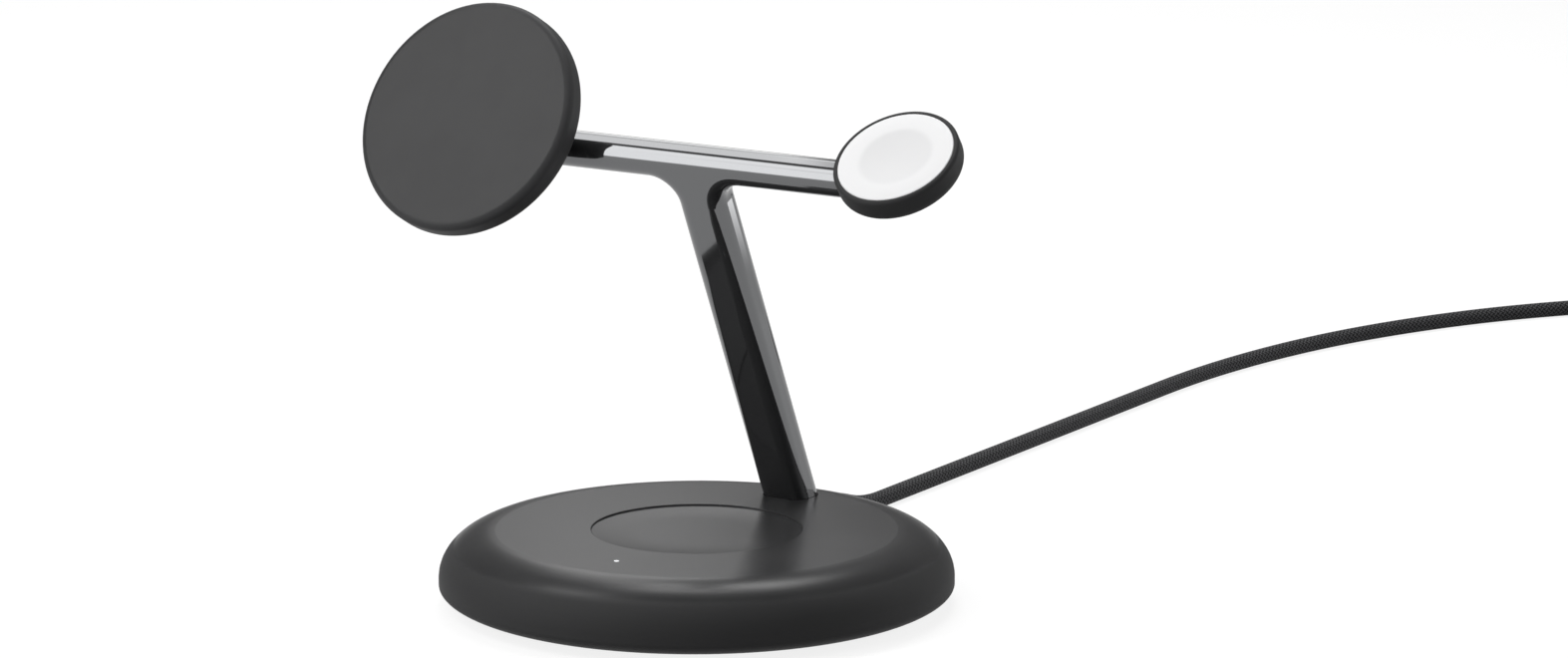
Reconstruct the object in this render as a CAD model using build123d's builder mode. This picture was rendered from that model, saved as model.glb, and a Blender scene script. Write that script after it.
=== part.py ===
from build123d import *
import math
import os

os.makedirs("parts", exist_ok=True)

# A desk charger for a phone, a watch and earbuds: a round weighted base, a polished T-shaped arm that leans
# forward, a large tilted disc on the left end of the crossbar, a small one on the right, and a braided cord.
# Millimetres, +Z up, the front towards -Y, the origin on the floor under the middle of the base.

# Base form; its height is the sum of what is stacked inside it
base_radius = 63.5
base_top_round_width = 14.0
base_top_round_height = 11.7
base_low_round_width = 14.3
base_low_round_height = 4.5
cover_wall = 2.4
opening_rim = 8.5
opening_clearance = 0.2
dish_radius = 25.9
dish_depth = 0.8
dish_lip = 0.4
dish_flat_radius = 14.0
dish_edge_round = 0.25
foot_margin = 3.2
foot_proud = 0.5
foot_thickness = 1.5
foot_edge_round = 0.3
foot_clearance = 0.2
bottom_cover_thickness = 3.2

# Inside the base
ballast_margin = 3.0
ballast_thickness = 3.0
post_inset = 4.0
post_diameter = 7.0
post_count = 4
post_start_angle = 45.0
screw_diameter = 2.5
screw_head_diameter = 5.0
screw_head_height = 1.2
screw_grip = 5.0
screw_hole_clearance = 0.2
board_post_gap = 2.5
board_bracket_gap = 5.3
board_thickness = 1.6
board_headroom = 2.1
standoff_height = 2.3
standoff_diameter = 5.0
standoff_inset = 5.0
standoff_angles = [-19.0, 50.0, 130.0, 199.0]
board_screw_diameter = 2.0
board_screw_head = 3.8
board_screw_head_height = 1.0
board_screw_grip = 1.6
connector_depth = 5.2
connector_clearance = 0.2
connector_gap = 2.2
lead_connector_width = 8.0
power_connector_width = 6.6
chip_height = 1.1
chip_size = 7.0
chip_places = [(-12.0, 6.0), (10.0, -4.0), (-8.0, -16.0)]
inductor_length = 9.0
inductor_width = 6.0
inductor_place = (14.0, 12.0)
second_inductor_y = -6.0
inductor_screw_gap = 2.9
small_part_pitch = 5.0
small_part_length = 2.0
small_part_width = 1.2
coil_thickness = 1.0
earbud_coil_outer = 22.0
earbud_coil_inner = 9.0
earbud_ferrite_margin = 2.0
ferrite_thickness = 0.9
tray_margin = 3.0
tray_thickness = 1.2
tray_ear_reach = 3.5
tray_ear_radius = 3.6
tray_ear_count = 3
tray_ear_start_angle = 60.0
light_x = 1.8
light_margin = 11.3
light_pipe_diameter = 1.3
light_pipe_flange = 3.2
light_pipe_flange_height = 1.0
light_hole_clearance = 0.04
light_tab_width = 12.0
light_tab_reach = 5.0
light_chip_size = 1.8
light_chip_height = 0.8

# Arm
junction_y = 0.6
junction_z = 109.5
stem_inset = 20.2
stem_width = 13.0
arm_depth = 9.4
bar_height = 7.8
arm_edge_round = 3.6
arm_inner_round = 6.5
stem_slot_clearance = 0.15
stem_bore_diameter = 5.0
bar_bore_diameter = 4.4
neck_bore_diameter = 4.0
stem_window_width = 5.2
stem_window_height = 4.0
bracket_wall = 4.1
bracket_depth = 19.0
bracket_height = 3.2
bracket_screw_gap = 9.8
bracket_screw_setback = 2.5
bracket_screw_land = 7.0
bracket_flange_depth = 9.0
bracket_flange_thickness = 2.0
bracket_pocket_clearance = 0.1
clamp_screw_diameter = 2.4

# Phone disc; its thickness is the sum of its stack, and neck_reach is its back's distance from the crossbar
phone_x = -60.0
phone_tilt = 29.1
phone_neck_reach = 8.2
phone_rise = 0.95
phone_radius = 30.0
phone_front_round = 1.8
phone_back_round = 2.2
phone_face_wall = 1.5
phone_wall = 3.0
phone_back_seat = 0.5
phone_back_thickness = 1.6
phone_back_clearance = 0.1
phone_neck_radius = 6.5
phone_neck_root_radius = 3.7
phone_screw_pitch = 8.4
magnet_clearance = 0.2
magnet_width = 4.2
magnet_height = 1.8
magnet_count = 16
magnet_gap = 0.5
phone_coil_gap = 1.0
phone_coil_inner = 9.0
phone_ferrite_gap = 0.6
phone_ferrite_thickness = 1.4
phone_board_inset = 2.0
disc_board_thickness = 0.8

# Watch disc, stacked and placed the same way
watch_x = 60.8
watch_tilt = 53.9
watch_neck_reach = 4.6
watch_rise = -1.0
watch_radius = 15.7
watch_front_round = 0.9
watch_back_round = 2.6
watch_back_wall = 1.4
watch_wall = 2.1
watch_rim = 1.2
watch_face_clearance = 0.05
watch_face_thickness = 1.2
watch_face_round = 0.4
watch_dish_radius = 9.1
watch_dish_depth = 0.35
watch_neck_radius = 5.2
watch_neck_root_radius = 3.5
watch_screw_pitch = 7.2
watch_magnet_radius = 4.8
watch_magnet_height = 2.4
watch_coil_gap = 0.5
watch_coil_margin = 1.4
watch_ferrite_margin = 0.8
watch_ferrite_thickness = 1.7
watch_board_margin = 1.2
neck_screw_diameter = 2.0
neck_screw_head = 3.4
neck_screw_head_height = 0.5
neck_screw_grip = 2.2

# Leads and cord
lead_diameter = 1.6
lead_spacing = 2.4
lead_bend = 2.4
lead_turn_bend = 2.0
power_lead_diameter = 2.6
power_lead_bend = 3.0
power_lead_straight = 3.4
power_lead_room = 3.5
cord_diameter = 4.4
cord_exit_x = -12.4
cord_exit_z = 7.4
boot_length = 10.7
boot_seat = 1.4
boot_neck_diameter = 6.4
boot_root_diameter = 8.2
boot_tip_diameter = 5.8
boot_flange_diameter = 8.4
boot_flange_thickness = 2.0
boot_flange_tuck = 0.6
boot_hole_clearance = 0.1
coil_centre_x = 78.9
coil_centre_y = 430.9
coil_outer_turn = 33.4
coil_inner_turn = 18.6
coil_layers = 2
coil_section_round = 2.0
tie_width = 7.0
tie_thickness = 1.0
tie_angle = 215.0
grip_front_y = 362.0
grip_length = 22.0
grip_width = 11.6
grip_thickness = 6.4
grip_round = 2.4
grip_back_round = 1.4
grip_front_round = 0.7
shell_width = 8.3
shell_thickness = 2.5
shell_length = 6.6
shell_wall = 0.3
shell_round = 1.1
tongue_width = 6.6
tongue_thickness = 0.7
tongue_length = 5.0

# Levels of the base, from the floor up
bottom_cover_top = foot_proud + bottom_cover_thickness
ballast_top = bottom_cover_top + ballast_thickness
board_bottom = ballast_top + standoff_height
board_top = board_bottom + board_thickness
connector_height = board_headroom - connector_clearance
connector_middle = board_top + connector_height / 2
tray_bottom = board_top + board_headroom
ferrite_bottom = tray_bottom + tray_thickness
coil_bottom = ferrite_bottom + ferrite_thickness
ceiling = coil_bottom + coil_thickness
base_top = ceiling + cover_wall

# Radii and places inside the base
lower_opening_radius = base_radius - opening_rim
ballast_radius = lower_opening_radius - ballast_margin
foot_radius = base_radius - base_low_round_width - foot_margin
post_pitch_radius = foot_radius - post_inset
board_radius = post_pitch_radius - post_diameter / 2 - board_post_gap
standoff_radius = board_radius - standoff_inset
standoff_places = [
    (standoff_radius * math.cos(math.radians(angle)), standoff_radius * math.sin(math.radians(angle)))
    for angle in standoff_angles
]
second_inductor_x = standoff_places[-1][0] + board_screw_head / 2 + inductor_screw_gap + inductor_length / 2
earbud_ferrite_radius = earbud_coil_outer + earbud_ferrite_margin
tray_radius = earbud_ferrite_radius + tray_margin
tray_ear_pitch = tray_radius + tray_ear_reach
light_y = base_top_round_width + light_margin - base_radius
power_connector_x = -(lead_connector_width + power_connector_width) / 2 - connector_gap
wall_y = math.sqrt(base_radius**2 - cord_exit_x**2)
inner_wall_y = wall_y - cover_wall - boot_flange_thickness
boot_tip_y = wall_y + boot_length
cord_radius = cord_diameter / 2

# Slope of the stem, and the bracket round its foot
stem_foot_y = base_radius - stem_inset
stem_lean = math.atan2(stem_foot_y - junction_y, junction_z - base_top)
stem_down = Vector(0, math.sin(stem_lean), -math.cos(stem_lean))
stem_drop = (junction_z - ballast_top) / math.cos(stem_lean)
bracket_width = stem_width + 2 * bracket_wall
bracket_screw_pitch = bracket_width + bracket_screw_gap
bracket_flange_width = bracket_screw_pitch + bracket_screw_land
clamp_height = ballast_top + bracket_height / 2

# Stacks of the two discs
phone_board_level = phone_face_wall + coil_thickness + phone_ferrite_thickness
phone_screw_space = phone_back_thickness + neck_screw_head_height
phone_thickness = phone_board_level + disc_board_thickness + phone_screw_space
phone_inner_radius = phone_radius - phone_wall
phone_back_radius = phone_inner_radius + phone_back_seat
magnet_outer = phone_inner_radius - magnet_clearance
magnet_inner = magnet_outer - magnet_width
phone_ferrite_radius = magnet_inner - phone_ferrite_gap
watch_board_level = watch_face_thickness + coil_thickness + watch_ferrite_thickness
watch_screw_space = watch_back_wall + neck_screw_head_height
watch_thickness = watch_board_level + disc_board_thickness + watch_screw_space
watch_inner_radius = watch_radius - watch_wall
watch_face_radius = watch_radius - watch_rim


def stem_y(height):
    """Y of the stem's middle line at a height."""
    return junction_y + (junction_z - height) * math.tan(stem_lean)


def tilted_plane(x, tilt, reach, rise):
    """Plane of a disc's front face: its Z leaves the face, its Y climbs the face."""
    out = Vector(0, -math.cos(math.radians(tilt)), math.sin(math.radians(tilt)))
    climb = Vector(0, math.sin(math.radians(tilt)), math.cos(math.radians(tilt)))
    middle = Vector(x, junction_y, junction_z) + out * reach + climb * rise
    return Plane(origin=middle, x_dir=(1, 0, 0), z_dir=out)


def base_section(inset, low):
    """Half section of the base's rounded outline, moved inwards by inset and cut off below low."""
    low_width = base_low_round_width - inset
    low_height = base_low_round_height - inset
    top_width = base_top_round_width - inset
    top_height = base_top_round_height - inset
    rim = base_radius - inset
    bottom = foot_proud + inset
    top = base_top - inset
    low_middle = (rim - low_width, bottom + low_height)
    top_middle = (rim - top_width, top - top_height)
    with BuildSketch(Plane.XZ) as section:
        with BuildLine():
            Line((0, bottom), (rim - low_width, bottom))
            EllipticalCenterArc(low_middle, low_width, low_height, 270, arc_size=90)
            Line((rim, bottom + low_height), (rim, top - top_height))
            EllipticalCenterArc(top_middle, top_width, top_height, 0, arc_size=90)
            Line((rim - top_width, top), (0, top))
            Line((0, top), (0, bottom))
        make_face()
        if low > bottom:
            with Locations((0, bottom)):
                Rectangle(rim, low - bottom, align=(Align.MIN, Align.MIN), mode=Mode.SUBTRACT)
    return section.sketch


def stem_section(clearance):
    """Rounded rectangle of the stem, grown by a clearance, on a plane across the stem at the junction."""
    with BuildSketch(stem_plane) as section:
        RectangleRounded(stem_width + 2 * clearance, arm_depth + 2 * clearance, arm_edge_round + clearance)
    return section.sketch


def bend_radii(points):
    """Largest even radius at each corner of a cord's route: 0.45 of the shorter run over tan(half turn)."""
    corners = [Vector(*point) for point in points]
    radii = []
    for before, here, after in zip(corners, corners[1:], corners[2:]):
        shorter = min((here - before).length, (after - here).length)
        turn = (here - before).get_angle(after - here)
        radii.append(0.45 * shorter / math.tan(math.radians(turn) / 2))
    return radii


bracket_middle = stem_y(clamp_height)
board_back_y = bracket_middle - bracket_depth / 2 - board_bracket_gap
bracket_screw_y = stem_y(ballast_top) - bracket_screw_setback
stem_plane = Plane(origin=(0, junction_y, junction_z), x_dir=(1, 0, 0), z_dir=stem_down)
arm_plane = Plane(
    origin=(0, junction_y, junction_z),
    x_dir=(1, 0, 0),
    z_dir=(0, -math.cos(stem_lean), -math.sin(stem_lean)),
)
phone_face = tilted_plane(phone_x, phone_tilt, phone_neck_reach + phone_thickness, phone_rise)
phone_back = phone_face.offset(-phone_thickness)
phone_out = phone_face.z_dir
watch_face = tilted_plane(watch_x, watch_tilt, watch_neck_reach + watch_thickness, watch_rise)
watch_back = watch_face.offset(-watch_thickness)
watch_out = watch_face.z_dir
boot_plane = Plane(origin=(cord_exit_x, boot_tip_y, cord_exit_z), x_dir=(1, 0, 0), z_dir=(0, 1, 0))

# Silicone foot that the base stands on
with BuildPart() as foot_pad:
    Cylinder(foot_radius, foot_thickness, align=(Align.CENTER, Align.CENTER, Align.MIN))
    fillet(foot_pad.edges().group_by(Axis.Z)[0], foot_edge_round)
foot_pad.part.label = "foot_pad"
export_step(foot_pad.part, "parts/foot_pad.step")

# Bottom cover: fills the opening under the base, with a recess for the foot and sunk screw heads
with BuildPart() as base_bottom_cover:
    revolve(base_section(0, foot_proud), axis=Axis.Z)
    with BuildSketch(Plane.XY) as plate_outline:
        Circle(lower_opening_radius - opening_clearance)
    extrude(amount=bottom_cover_top, mode=Mode.INTERSECT)
    with BuildSketch(Plane.XY) as foot_recess:
        Circle(foot_radius + foot_clearance)
    extrude(amount=foot_thickness, mode=Mode.SUBTRACT)
    with BuildSketch(Plane.XY) as head_recess:
        with PolarLocations(post_pitch_radius, post_count, start_angle=post_start_angle):
            Circle(screw_head_diameter / 2 + screw_hole_clearance)
    extrude(amount=foot_thickness + screw_head_height, mode=Mode.SUBTRACT)
    with BuildSketch(Plane.XY) as screw_holes:
        with PolarLocations(post_pitch_radius, post_count, start_angle=post_start_angle):
            Circle(screw_diameter / 2 + screw_hole_clearance)
    extrude(amount=bottom_cover_top, mode=Mode.SUBTRACT)
base_bottom_cover.part.label = "base_bottom_cover"
export_step(base_bottom_cover.part, "parts/base_bottom_cover.step")

# Top cover: one moulded shell with the earbud dish, screw posts, tray bosses, and holes for stem, light, cord
with BuildPart() as base_top_cover:
    revolve(base_section(0, foot_proud), axis=Axis.Z)
    revolve(base_section(cover_wall, bottom_cover_top), axis=Axis.Z, mode=Mode.SUBTRACT)
    with BuildSketch(Plane.XY) as lower_opening:
        Circle(lower_opening_radius)
    extrude(amount=bottom_cover_top, mode=Mode.SUBTRACT)
    with BuildSketch(Plane.XZ) as dish:
        with BuildLine():
            dish_floor = base_top - dish_depth
            lip_foot = (dish_radius, base_top - dish_lip)
            Line((0, base_top), (dish_radius, base_top))
            Line((dish_radius, base_top), lip_foot)
            TangentArc((dish_flat_radius, dish_floor), lip_foot, tangent=(1, 0))
            Line((dish_flat_radius, dish_floor), (0, dish_floor))
            Line((0, dish_floor), (0, base_top))
        make_face()
    revolve(axis=Axis.Z, mode=Mode.SUBTRACT)
    dish_rims = base_top_cover.edges().filter_by(GeomType.CIRCLE)
    dish_rims = dish_rims.filter_by(lambda edge: abs(edge.radius - dish_radius) < 0.01).sort_by(Axis.Z)
    fillet(dish_rims[-1], dish_edge_round)
    with BuildSketch(Plane.XY.offset(ballast_top)) as posts:
        with PolarLocations(post_pitch_radius, post_count, start_angle=post_start_angle):
            Circle(post_diameter / 2)
    extrude(amount=ceiling - ballast_top)
    with BuildSketch(Plane.XY.offset(ballast_top)) as post_pilots:
        with PolarLocations(post_pitch_radius, post_count, start_angle=post_start_angle):
            Circle(screw_diameter / 2)
    extrude(amount=screw_grip, mode=Mode.SUBTRACT)
    with BuildSketch(Plane.XY.offset(ferrite_bottom)) as tray_bosses:
        with PolarLocations(tray_ear_pitch, tray_ear_count, start_angle=tray_ear_start_angle):
            Circle(tray_ear_radius)
    extrude(amount=ceiling - ferrite_bottom)
    with BuildSketch(Plane.XY.offset(ferrite_bottom)) as boss_pilots:
        with PolarLocations(tray_ear_pitch, tray_ear_count, start_angle=tray_ear_start_angle):
            Circle(board_screw_diameter / 2)
    extrude(amount=ceiling - ferrite_bottom, mode=Mode.SUBTRACT)
    extrude(stem_section(stem_slot_clearance), amount=stem_drop, dir=stem_down, mode=Mode.SUBTRACT)
    with BuildSketch(Plane.XY.offset(base_top)) as light_hole:
        with Locations((light_x, light_y)):
            Circle(light_pipe_diameter / 2 + light_hole_clearance)
    extrude(amount=-cover_wall, mode=Mode.SUBTRACT)
    with BuildSketch(boot_plane) as cord_hole:
        Circle(boot_neck_diameter / 2 + boot_hole_clearance)
    extrude(amount=-(boot_tip_y - ballast_radius), mode=Mode.SUBTRACT)
base_top_cover.part.label = "base_top_cover"
export_step(base_top_cover.part, "parts/base_top_cover.step")

# Steel plate that weighs the base down, clamped between the posts and the bottom cover
with BuildPart() as ballast_plate:
    with BuildSketch(Plane.XY.offset(bottom_cover_top)) as ballast_outline:
        Circle(ballast_radius)
        with PolarLocations(post_pitch_radius, post_count, start_angle=post_start_angle):
            Circle(screw_diameter / 2 + screw_hole_clearance, mode=Mode.SUBTRACT)
        with Locations(*standoff_places):
            Circle(board_screw_diameter / 2, mode=Mode.SUBTRACT)
        with Locations((0, bracket_screw_y)):
            with PolarLocations(bracket_screw_pitch / 2, 2):
                Circle(screw_diameter / 2, mode=Mode.SUBTRACT)
    extrude(amount=ballast_thickness)
ballast_plate.part.label = "ballast_plate"
export_step(ballast_plate.part, "parts/ballast_plate.step")

# Four screws that hold the base together, under the foot
with BuildPart() as base_screws:
    with BuildSketch(Plane.XY.offset(foot_thickness)) as head_discs:
        with PolarLocations(post_pitch_radius, post_count, start_angle=post_start_angle):
            Circle(screw_head_diameter / 2)
    extrude(amount=screw_head_height)
    with BuildSketch(Plane.XY.offset(foot_thickness)) as shanks:
        with PolarLocations(post_pitch_radius, post_count, start_angle=post_start_angle):
            Circle(screw_diameter / 2)
    extrude(amount=ballast_top + screw_grip - foot_thickness)
base_screws.part.label = "base_screws"
export_step(base_screws.part, "parts/base_screws.step")

# Main circuit board on its standoffs, with a tab under the status light
with BuildPart() as main_circuit_board:
    with BuildSketch(Plane.XY.offset(board_bottom)) as board_outline:
        Circle(board_radius)
        with Locations((0, board_back_y)):
            Rectangle(2 * board_radius, board_radius, align=(Align.CENTER, Align.MIN), mode=Mode.SUBTRACT)
        with Locations((light_x, light_y - light_tab_reach)):
            Rectangle(light_tab_width, light_tab_reach - light_y, align=(Align.CENTER, Align.MIN))
        with Locations(*standoff_places):
            Circle(board_screw_diameter / 2 + screw_hole_clearance, mode=Mode.SUBTRACT)
    extrude(amount=board_thickness)
main_circuit_board.part.label = "main_circuit_board"
export_step(main_circuit_board.part, "parts/main_circuit_board.step")

with BuildPart() as board_standoffs:
    with BuildSketch(Plane.XY.offset(ballast_top)) as standoff_outline:
        with Locations(*standoff_places):
            RegularPolygon(standoff_diameter / 2, 6)
            Circle(board_screw_diameter / 2, mode=Mode.SUBTRACT)
    extrude(amount=standoff_height)
board_standoffs.part.label = "board_standoffs"
export_step(board_standoffs.part, "parts/board_standoffs.step")

with BuildPart() as board_screws:
    with BuildSketch(Plane.XY.offset(board_top)) as board_heads:
        with Locations(*standoff_places):
            Circle(board_screw_head / 2)
    extrude(amount=board_screw_head_height)
    with BuildSketch(Plane.XY.offset(board_top)) as board_shanks:
        with Locations(*standoff_places):
            Circle(board_screw_diameter / 2)
    extrude(amount=-(board_thickness + board_screw_grip))
board_screws.part.label = "board_screws"
export_step(board_screws.part, "parts/board_screws.step")

# Chips, inductors, the two lead connectors and the status light on the board
with BuildPart() as board_components:
    with BuildSketch(Plane.XY.offset(board_top)) as chips:
        with Locations(*chip_places):
            Rectangle(chip_size, chip_size)
        with Locations(inductor_place, (second_inductor_x, second_inductor_y)):
            Rectangle(inductor_length, inductor_width)
        with GridLocations(small_part_pitch, small_part_pitch, 3, 2):
            Rectangle(small_part_length, small_part_width)
    extrude(amount=chip_height)
    with BuildSketch(Plane.XY.offset(board_top)) as connectors:
        with Locations((0, board_back_y)):
            Rectangle(lead_connector_width, connector_depth, align=(Align.CENTER, Align.MAX))
        with Locations((power_connector_x, board_back_y)):
            Rectangle(power_connector_width, connector_depth, align=(Align.CENTER, Align.MAX))
    extrude(amount=connector_height)
    with BuildSketch(Plane.XY.offset(board_top)) as light_chip:
        with Locations((light_x, light_y)):
            Rectangle(light_chip_size, light_chip_size)
    extrude(amount=light_chip_height)
board_components.part.label = "board_components"
export_step(board_components.part, "parts/board_components.step")

# Clear pipe that brings the light up through the cover
with BuildPart() as status_light_pipe:
    with BuildSketch(Plane.XY.offset(base_top)) as pipe_outline:
        with Locations((light_x, light_y)):
            Circle(light_pipe_diameter / 2)
    extrude(amount=-(base_top - board_top - light_chip_height))
    with BuildSketch(Plane.XY.offset(ceiling)) as pipe_flange:
        with Locations((light_x, light_y)):
            Circle(light_pipe_flange / 2)
    extrude(amount=-light_pipe_flange_height)
status_light_pipe.part.label = "status_light_pipe"
export_step(status_light_pipe.part, "parts/status_light_pipe.step")

# Earbud coil and its ferrite, held under the dish by a screwed tray
with BuildPart() as earbud_coil:
    with BuildSketch(Plane.XY.offset(coil_bottom)) as earbud_winding:
        Circle(earbud_coil_outer)
        Circle(earbud_coil_inner, mode=Mode.SUBTRACT)
    extrude(amount=coil_thickness)
earbud_coil.part.label = "earbud_coil"
export_step(earbud_coil.part, "parts/earbud_coil.step")

with BuildPart() as earbud_ferrite:
    with BuildSketch(Plane.XY.offset(ferrite_bottom)) as earbud_ferrite_disc:
        Circle(earbud_ferrite_radius)
    extrude(amount=ferrite_thickness)
earbud_ferrite.part.label = "earbud_ferrite"
export_step(earbud_ferrite.part, "parts/earbud_ferrite.step")

with BuildPart() as coil_tray:
    with BuildSketch(Plane.XY.offset(tray_bottom)) as tray_outline:
        Circle(tray_radius)
        with PolarLocations(tray_ear_pitch, tray_ear_count, start_angle=tray_ear_start_angle):
            Circle(tray_ear_radius)
            Circle(board_screw_diameter / 2 + screw_hole_clearance, mode=Mode.SUBTRACT)
    extrude(amount=tray_thickness)
coil_tray.part.label = "coil_tray"
export_step(coil_tray.part, "parts/coil_tray.step")

with BuildPart() as coil_tray_screws:
    with BuildSketch(Plane.XY.offset(tray_bottom)) as tray_heads:
        with PolarLocations(tray_ear_pitch, tray_ear_count, start_angle=tray_ear_start_angle):
            Circle(board_screw_head / 2)
    extrude(amount=-board_screw_head_height)
    with BuildSketch(Plane.XY.offset(tray_bottom)) as tray_shanks:
        with PolarLocations(tray_ear_pitch, tray_ear_count, start_angle=tray_ear_start_angle):
            Circle(board_screw_diameter / 2)
    extrude(amount=tray_thickness + board_screw_grip)
coil_tray_screws.part.label = "coil_tray_screws"
export_step(coil_tray_screws.part, "parts/coil_tray_screws.step")

# Cast bracket that clamps the stem's foot, screwed to the ballast
clamp_plane = Plane(origin=(0, bracket_middle, clamp_height), x_dir=(0, 1, 0), z_dir=(1, 0, 0))
with BuildPart() as stem_bracket:
    with BuildSketch(Plane.XY.offset(ballast_top)) as bracket_block:
        with Locations((0, bracket_middle)):
            RectangleRounded(bracket_width, bracket_depth, arm_edge_round)
    extrude(amount=bracket_height)
    with BuildSketch(Plane.XY.offset(ballast_top)) as bracket_flange:
        with Locations((0, bracket_screw_y)):
            RectangleRounded(bracket_flange_width, bracket_flange_depth, arm_edge_round)
    extrude(amount=bracket_flange_thickness)
    with BuildSketch(Plane.XY.offset(ballast_top)) as bracket_holes:
        with Locations((0, bracket_screw_y)):
            with PolarLocations(bracket_screw_pitch / 2, 2):
                Circle(screw_diameter / 2 + screw_hole_clearance)
    extrude(amount=bracket_flange_thickness, mode=Mode.SUBTRACT)
    pocket = stem_section(bracket_pocket_clearance)
    extrude(pocket, amount=stem_drop + arm_depth, dir=stem_down, mode=Mode.SUBTRACT)
    with BuildSketch(clamp_plane) as clamp_bore:
        Circle(clamp_screw_diameter / 2)
    extrude(amount=bracket_width, both=True, mode=Mode.SUBTRACT)
stem_bracket.part.label = "stem_bracket"
export_step(stem_bracket.part, "parts/stem_bracket.step")

with BuildPart() as stem_bracket_screws:
    with BuildSketch(Plane.XY.offset(ballast_top + bracket_flange_thickness)) as bracket_heads:
        with Locations((0, bracket_screw_y)):
            with PolarLocations(bracket_screw_pitch / 2, 2):
                Circle(screw_head_diameter / 2)
    extrude(amount=screw_head_height)
    with BuildSketch(Plane.XY.offset(ballast_top + bracket_flange_thickness)) as bracket_shanks:
        with Locations((0, bracket_screw_y)):
            with PolarLocations(bracket_screw_pitch / 2, 2):
                Circle(screw_diameter / 2)
    extrude(amount=-(bracket_flange_thickness + ballast_thickness))
stem_bracket_screws.part.label = "stem_bracket_screws"
export_step(stem_bracket_screws.part, "parts/stem_bracket_screws.step")

# Grub screws that press on the stem's two sides
with BuildPart() as stem_clamp_screws:
    with BuildSketch(clamp_plane.offset(stem_width / 2)) as clamp_right:
        Circle(clamp_screw_diameter / 2)
    extrude(amount=bracket_wall)
    with BuildSketch(clamp_plane.offset(-stem_width / 2)) as clamp_left:
        Circle(clamp_screw_diameter / 2)
    extrude(amount=-bracket_wall)
stem_clamp_screws.part.label = "stem_clamp_screws"
export_step(stem_clamp_screws.part, "parts/stem_clamp_screws.step")

# Polished arm: one casting, a rounded T with a neck at each end of the crossbar, drilled for the leads
with BuildPart() as arm_frame:
    with BuildSketch(arm_plane) as arm_outline:
        with BuildLine():
            left = phone_x
            right = watch_x
            half = stem_width / 2
            foot = -stem_drop - arm_depth
            bar_half = bar_height / 2
            inner_x = half + arm_inner_round
            inner_y = -bar_half - arm_inner_round
            Line((left, bar_half), (right, bar_half))
            RadiusArc((right, bar_half), (right, -bar_half), bar_half)
            Line((right, -bar_half), (inner_x, -bar_half))
            RadiusArc((inner_x, -bar_half), (half, inner_y), -arm_inner_round)
            Line((half, inner_y), (half, foot))
            Line((half, foot), (-half, foot))
            Line((-half, foot), (-half, inner_y))
            RadiusArc((-half, inner_y), (-inner_x, -bar_half), -arm_inner_round)
            Line((-inner_x, -bar_half), (left, -bar_half))
            RadiusArc((left, -bar_half), (left, bar_half), bar_half)
        make_face()
    extrude(amount=arm_depth / 2, both=True)
    front_and_back = arm_frame.faces().filter_by(Axis((0, 0, 0), arm_plane.z_dir))
    fillet(front_and_back.edges(), arm_edge_round)
    split(bisect_by=Plane.XY.offset(ballast_top), keep=Keep.TOP)
    with BuildSketch(phone_back) as phone_neck:
        Circle(phone_neck_radius)
    with BuildSketch(phone_back.offset(-phone_neck_reach)) as phone_neck_root:
        Circle(phone_neck_root_radius)
    loft()
    with BuildSketch(watch_back) as watch_neck:
        Circle(watch_neck_radius)
    with BuildSketch(watch_back.offset(-watch_neck_reach)) as watch_neck_root:
        Circle(watch_neck_root_radius)
    loft()
    with BuildSketch(phone_back) as phone_bore:
        Circle(neck_bore_diameter / 2)
        with PolarLocations(phone_screw_pitch / 2, 2):
            Circle(neck_screw_diameter / 2)
    extrude(amount=-neck_screw_grip, mode=Mode.SUBTRACT)
    with BuildSketch(phone_back) as phone_lead_bore:
        Circle(neck_bore_diameter / 2)
    extrude(amount=-phone_neck_reach, mode=Mode.SUBTRACT)
    with BuildSketch(watch_back) as watch_bore:
        Circle(neck_bore_diameter / 2)
        with PolarLocations(watch_screw_pitch / 2, 2):
            Circle(neck_screw_diameter / 2)
    extrude(amount=-neck_screw_grip, mode=Mode.SUBTRACT)
    with BuildSketch(watch_back) as watch_lead_bore:
        Circle(neck_bore_diameter / 2)
    extrude(amount=-watch_neck_reach, mode=Mode.SUBTRACT)
    with BuildSketch(Plane(origin=(phone_x, junction_y, junction_z), z_dir=(1, 0, 0))) as bar_bore:
        Circle(bar_bore_diameter / 2)
    extrude(amount=watch_x - phone_x, mode=Mode.SUBTRACT)
    with BuildSketch(stem_plane) as stem_bore:
        Circle(stem_bore_diameter / 2)
    extrude(amount=(junction_z - connector_middle) / math.cos(stem_lean), mode=Mode.SUBTRACT)
    window_plane = Plane(
        origin=(0, stem_y(connector_middle), connector_middle), x_dir=(1, 0, 0), z_dir=(0, -1, 0)
    )
    with BuildSketch(window_plane) as stem_window:
        Rectangle(stem_window_width, stem_window_height)
    extrude(amount=arm_depth, mode=Mode.SUBTRACT)
arm_frame.part.label = "arm_frame"
export_step(arm_frame.part, "parts/arm_frame.step")

# Leads inside the arm, from the board's connector to each disc
half_spacing = lead_spacing / 2
phone_turn = Vector(phone_x, junction_y, junction_z)
watch_turn = Vector(watch_x, junction_y, junction_z)
phone_end = phone_turn + phone_out * (phone_neck_reach + phone_screw_space)
watch_end = watch_turn + watch_out * (watch_neck_reach + watch_screw_space)
phone_route = [
    (-half_spacing, board_back_y, connector_middle),
    (-half_spacing, stem_y(connector_middle), connector_middle),
    (-half_spacing, junction_y, junction_z),
    phone_turn,
    phone_end,
]
watch_route = [
    (half_spacing, board_back_y, connector_middle),
    (half_spacing, stem_y(connector_middle), connector_middle),
    (half_spacing, junction_y, junction_z),
    watch_turn,
    watch_end,
]
lead_bends = [lead_turn_bend, lead_bend, lead_bend]

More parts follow.
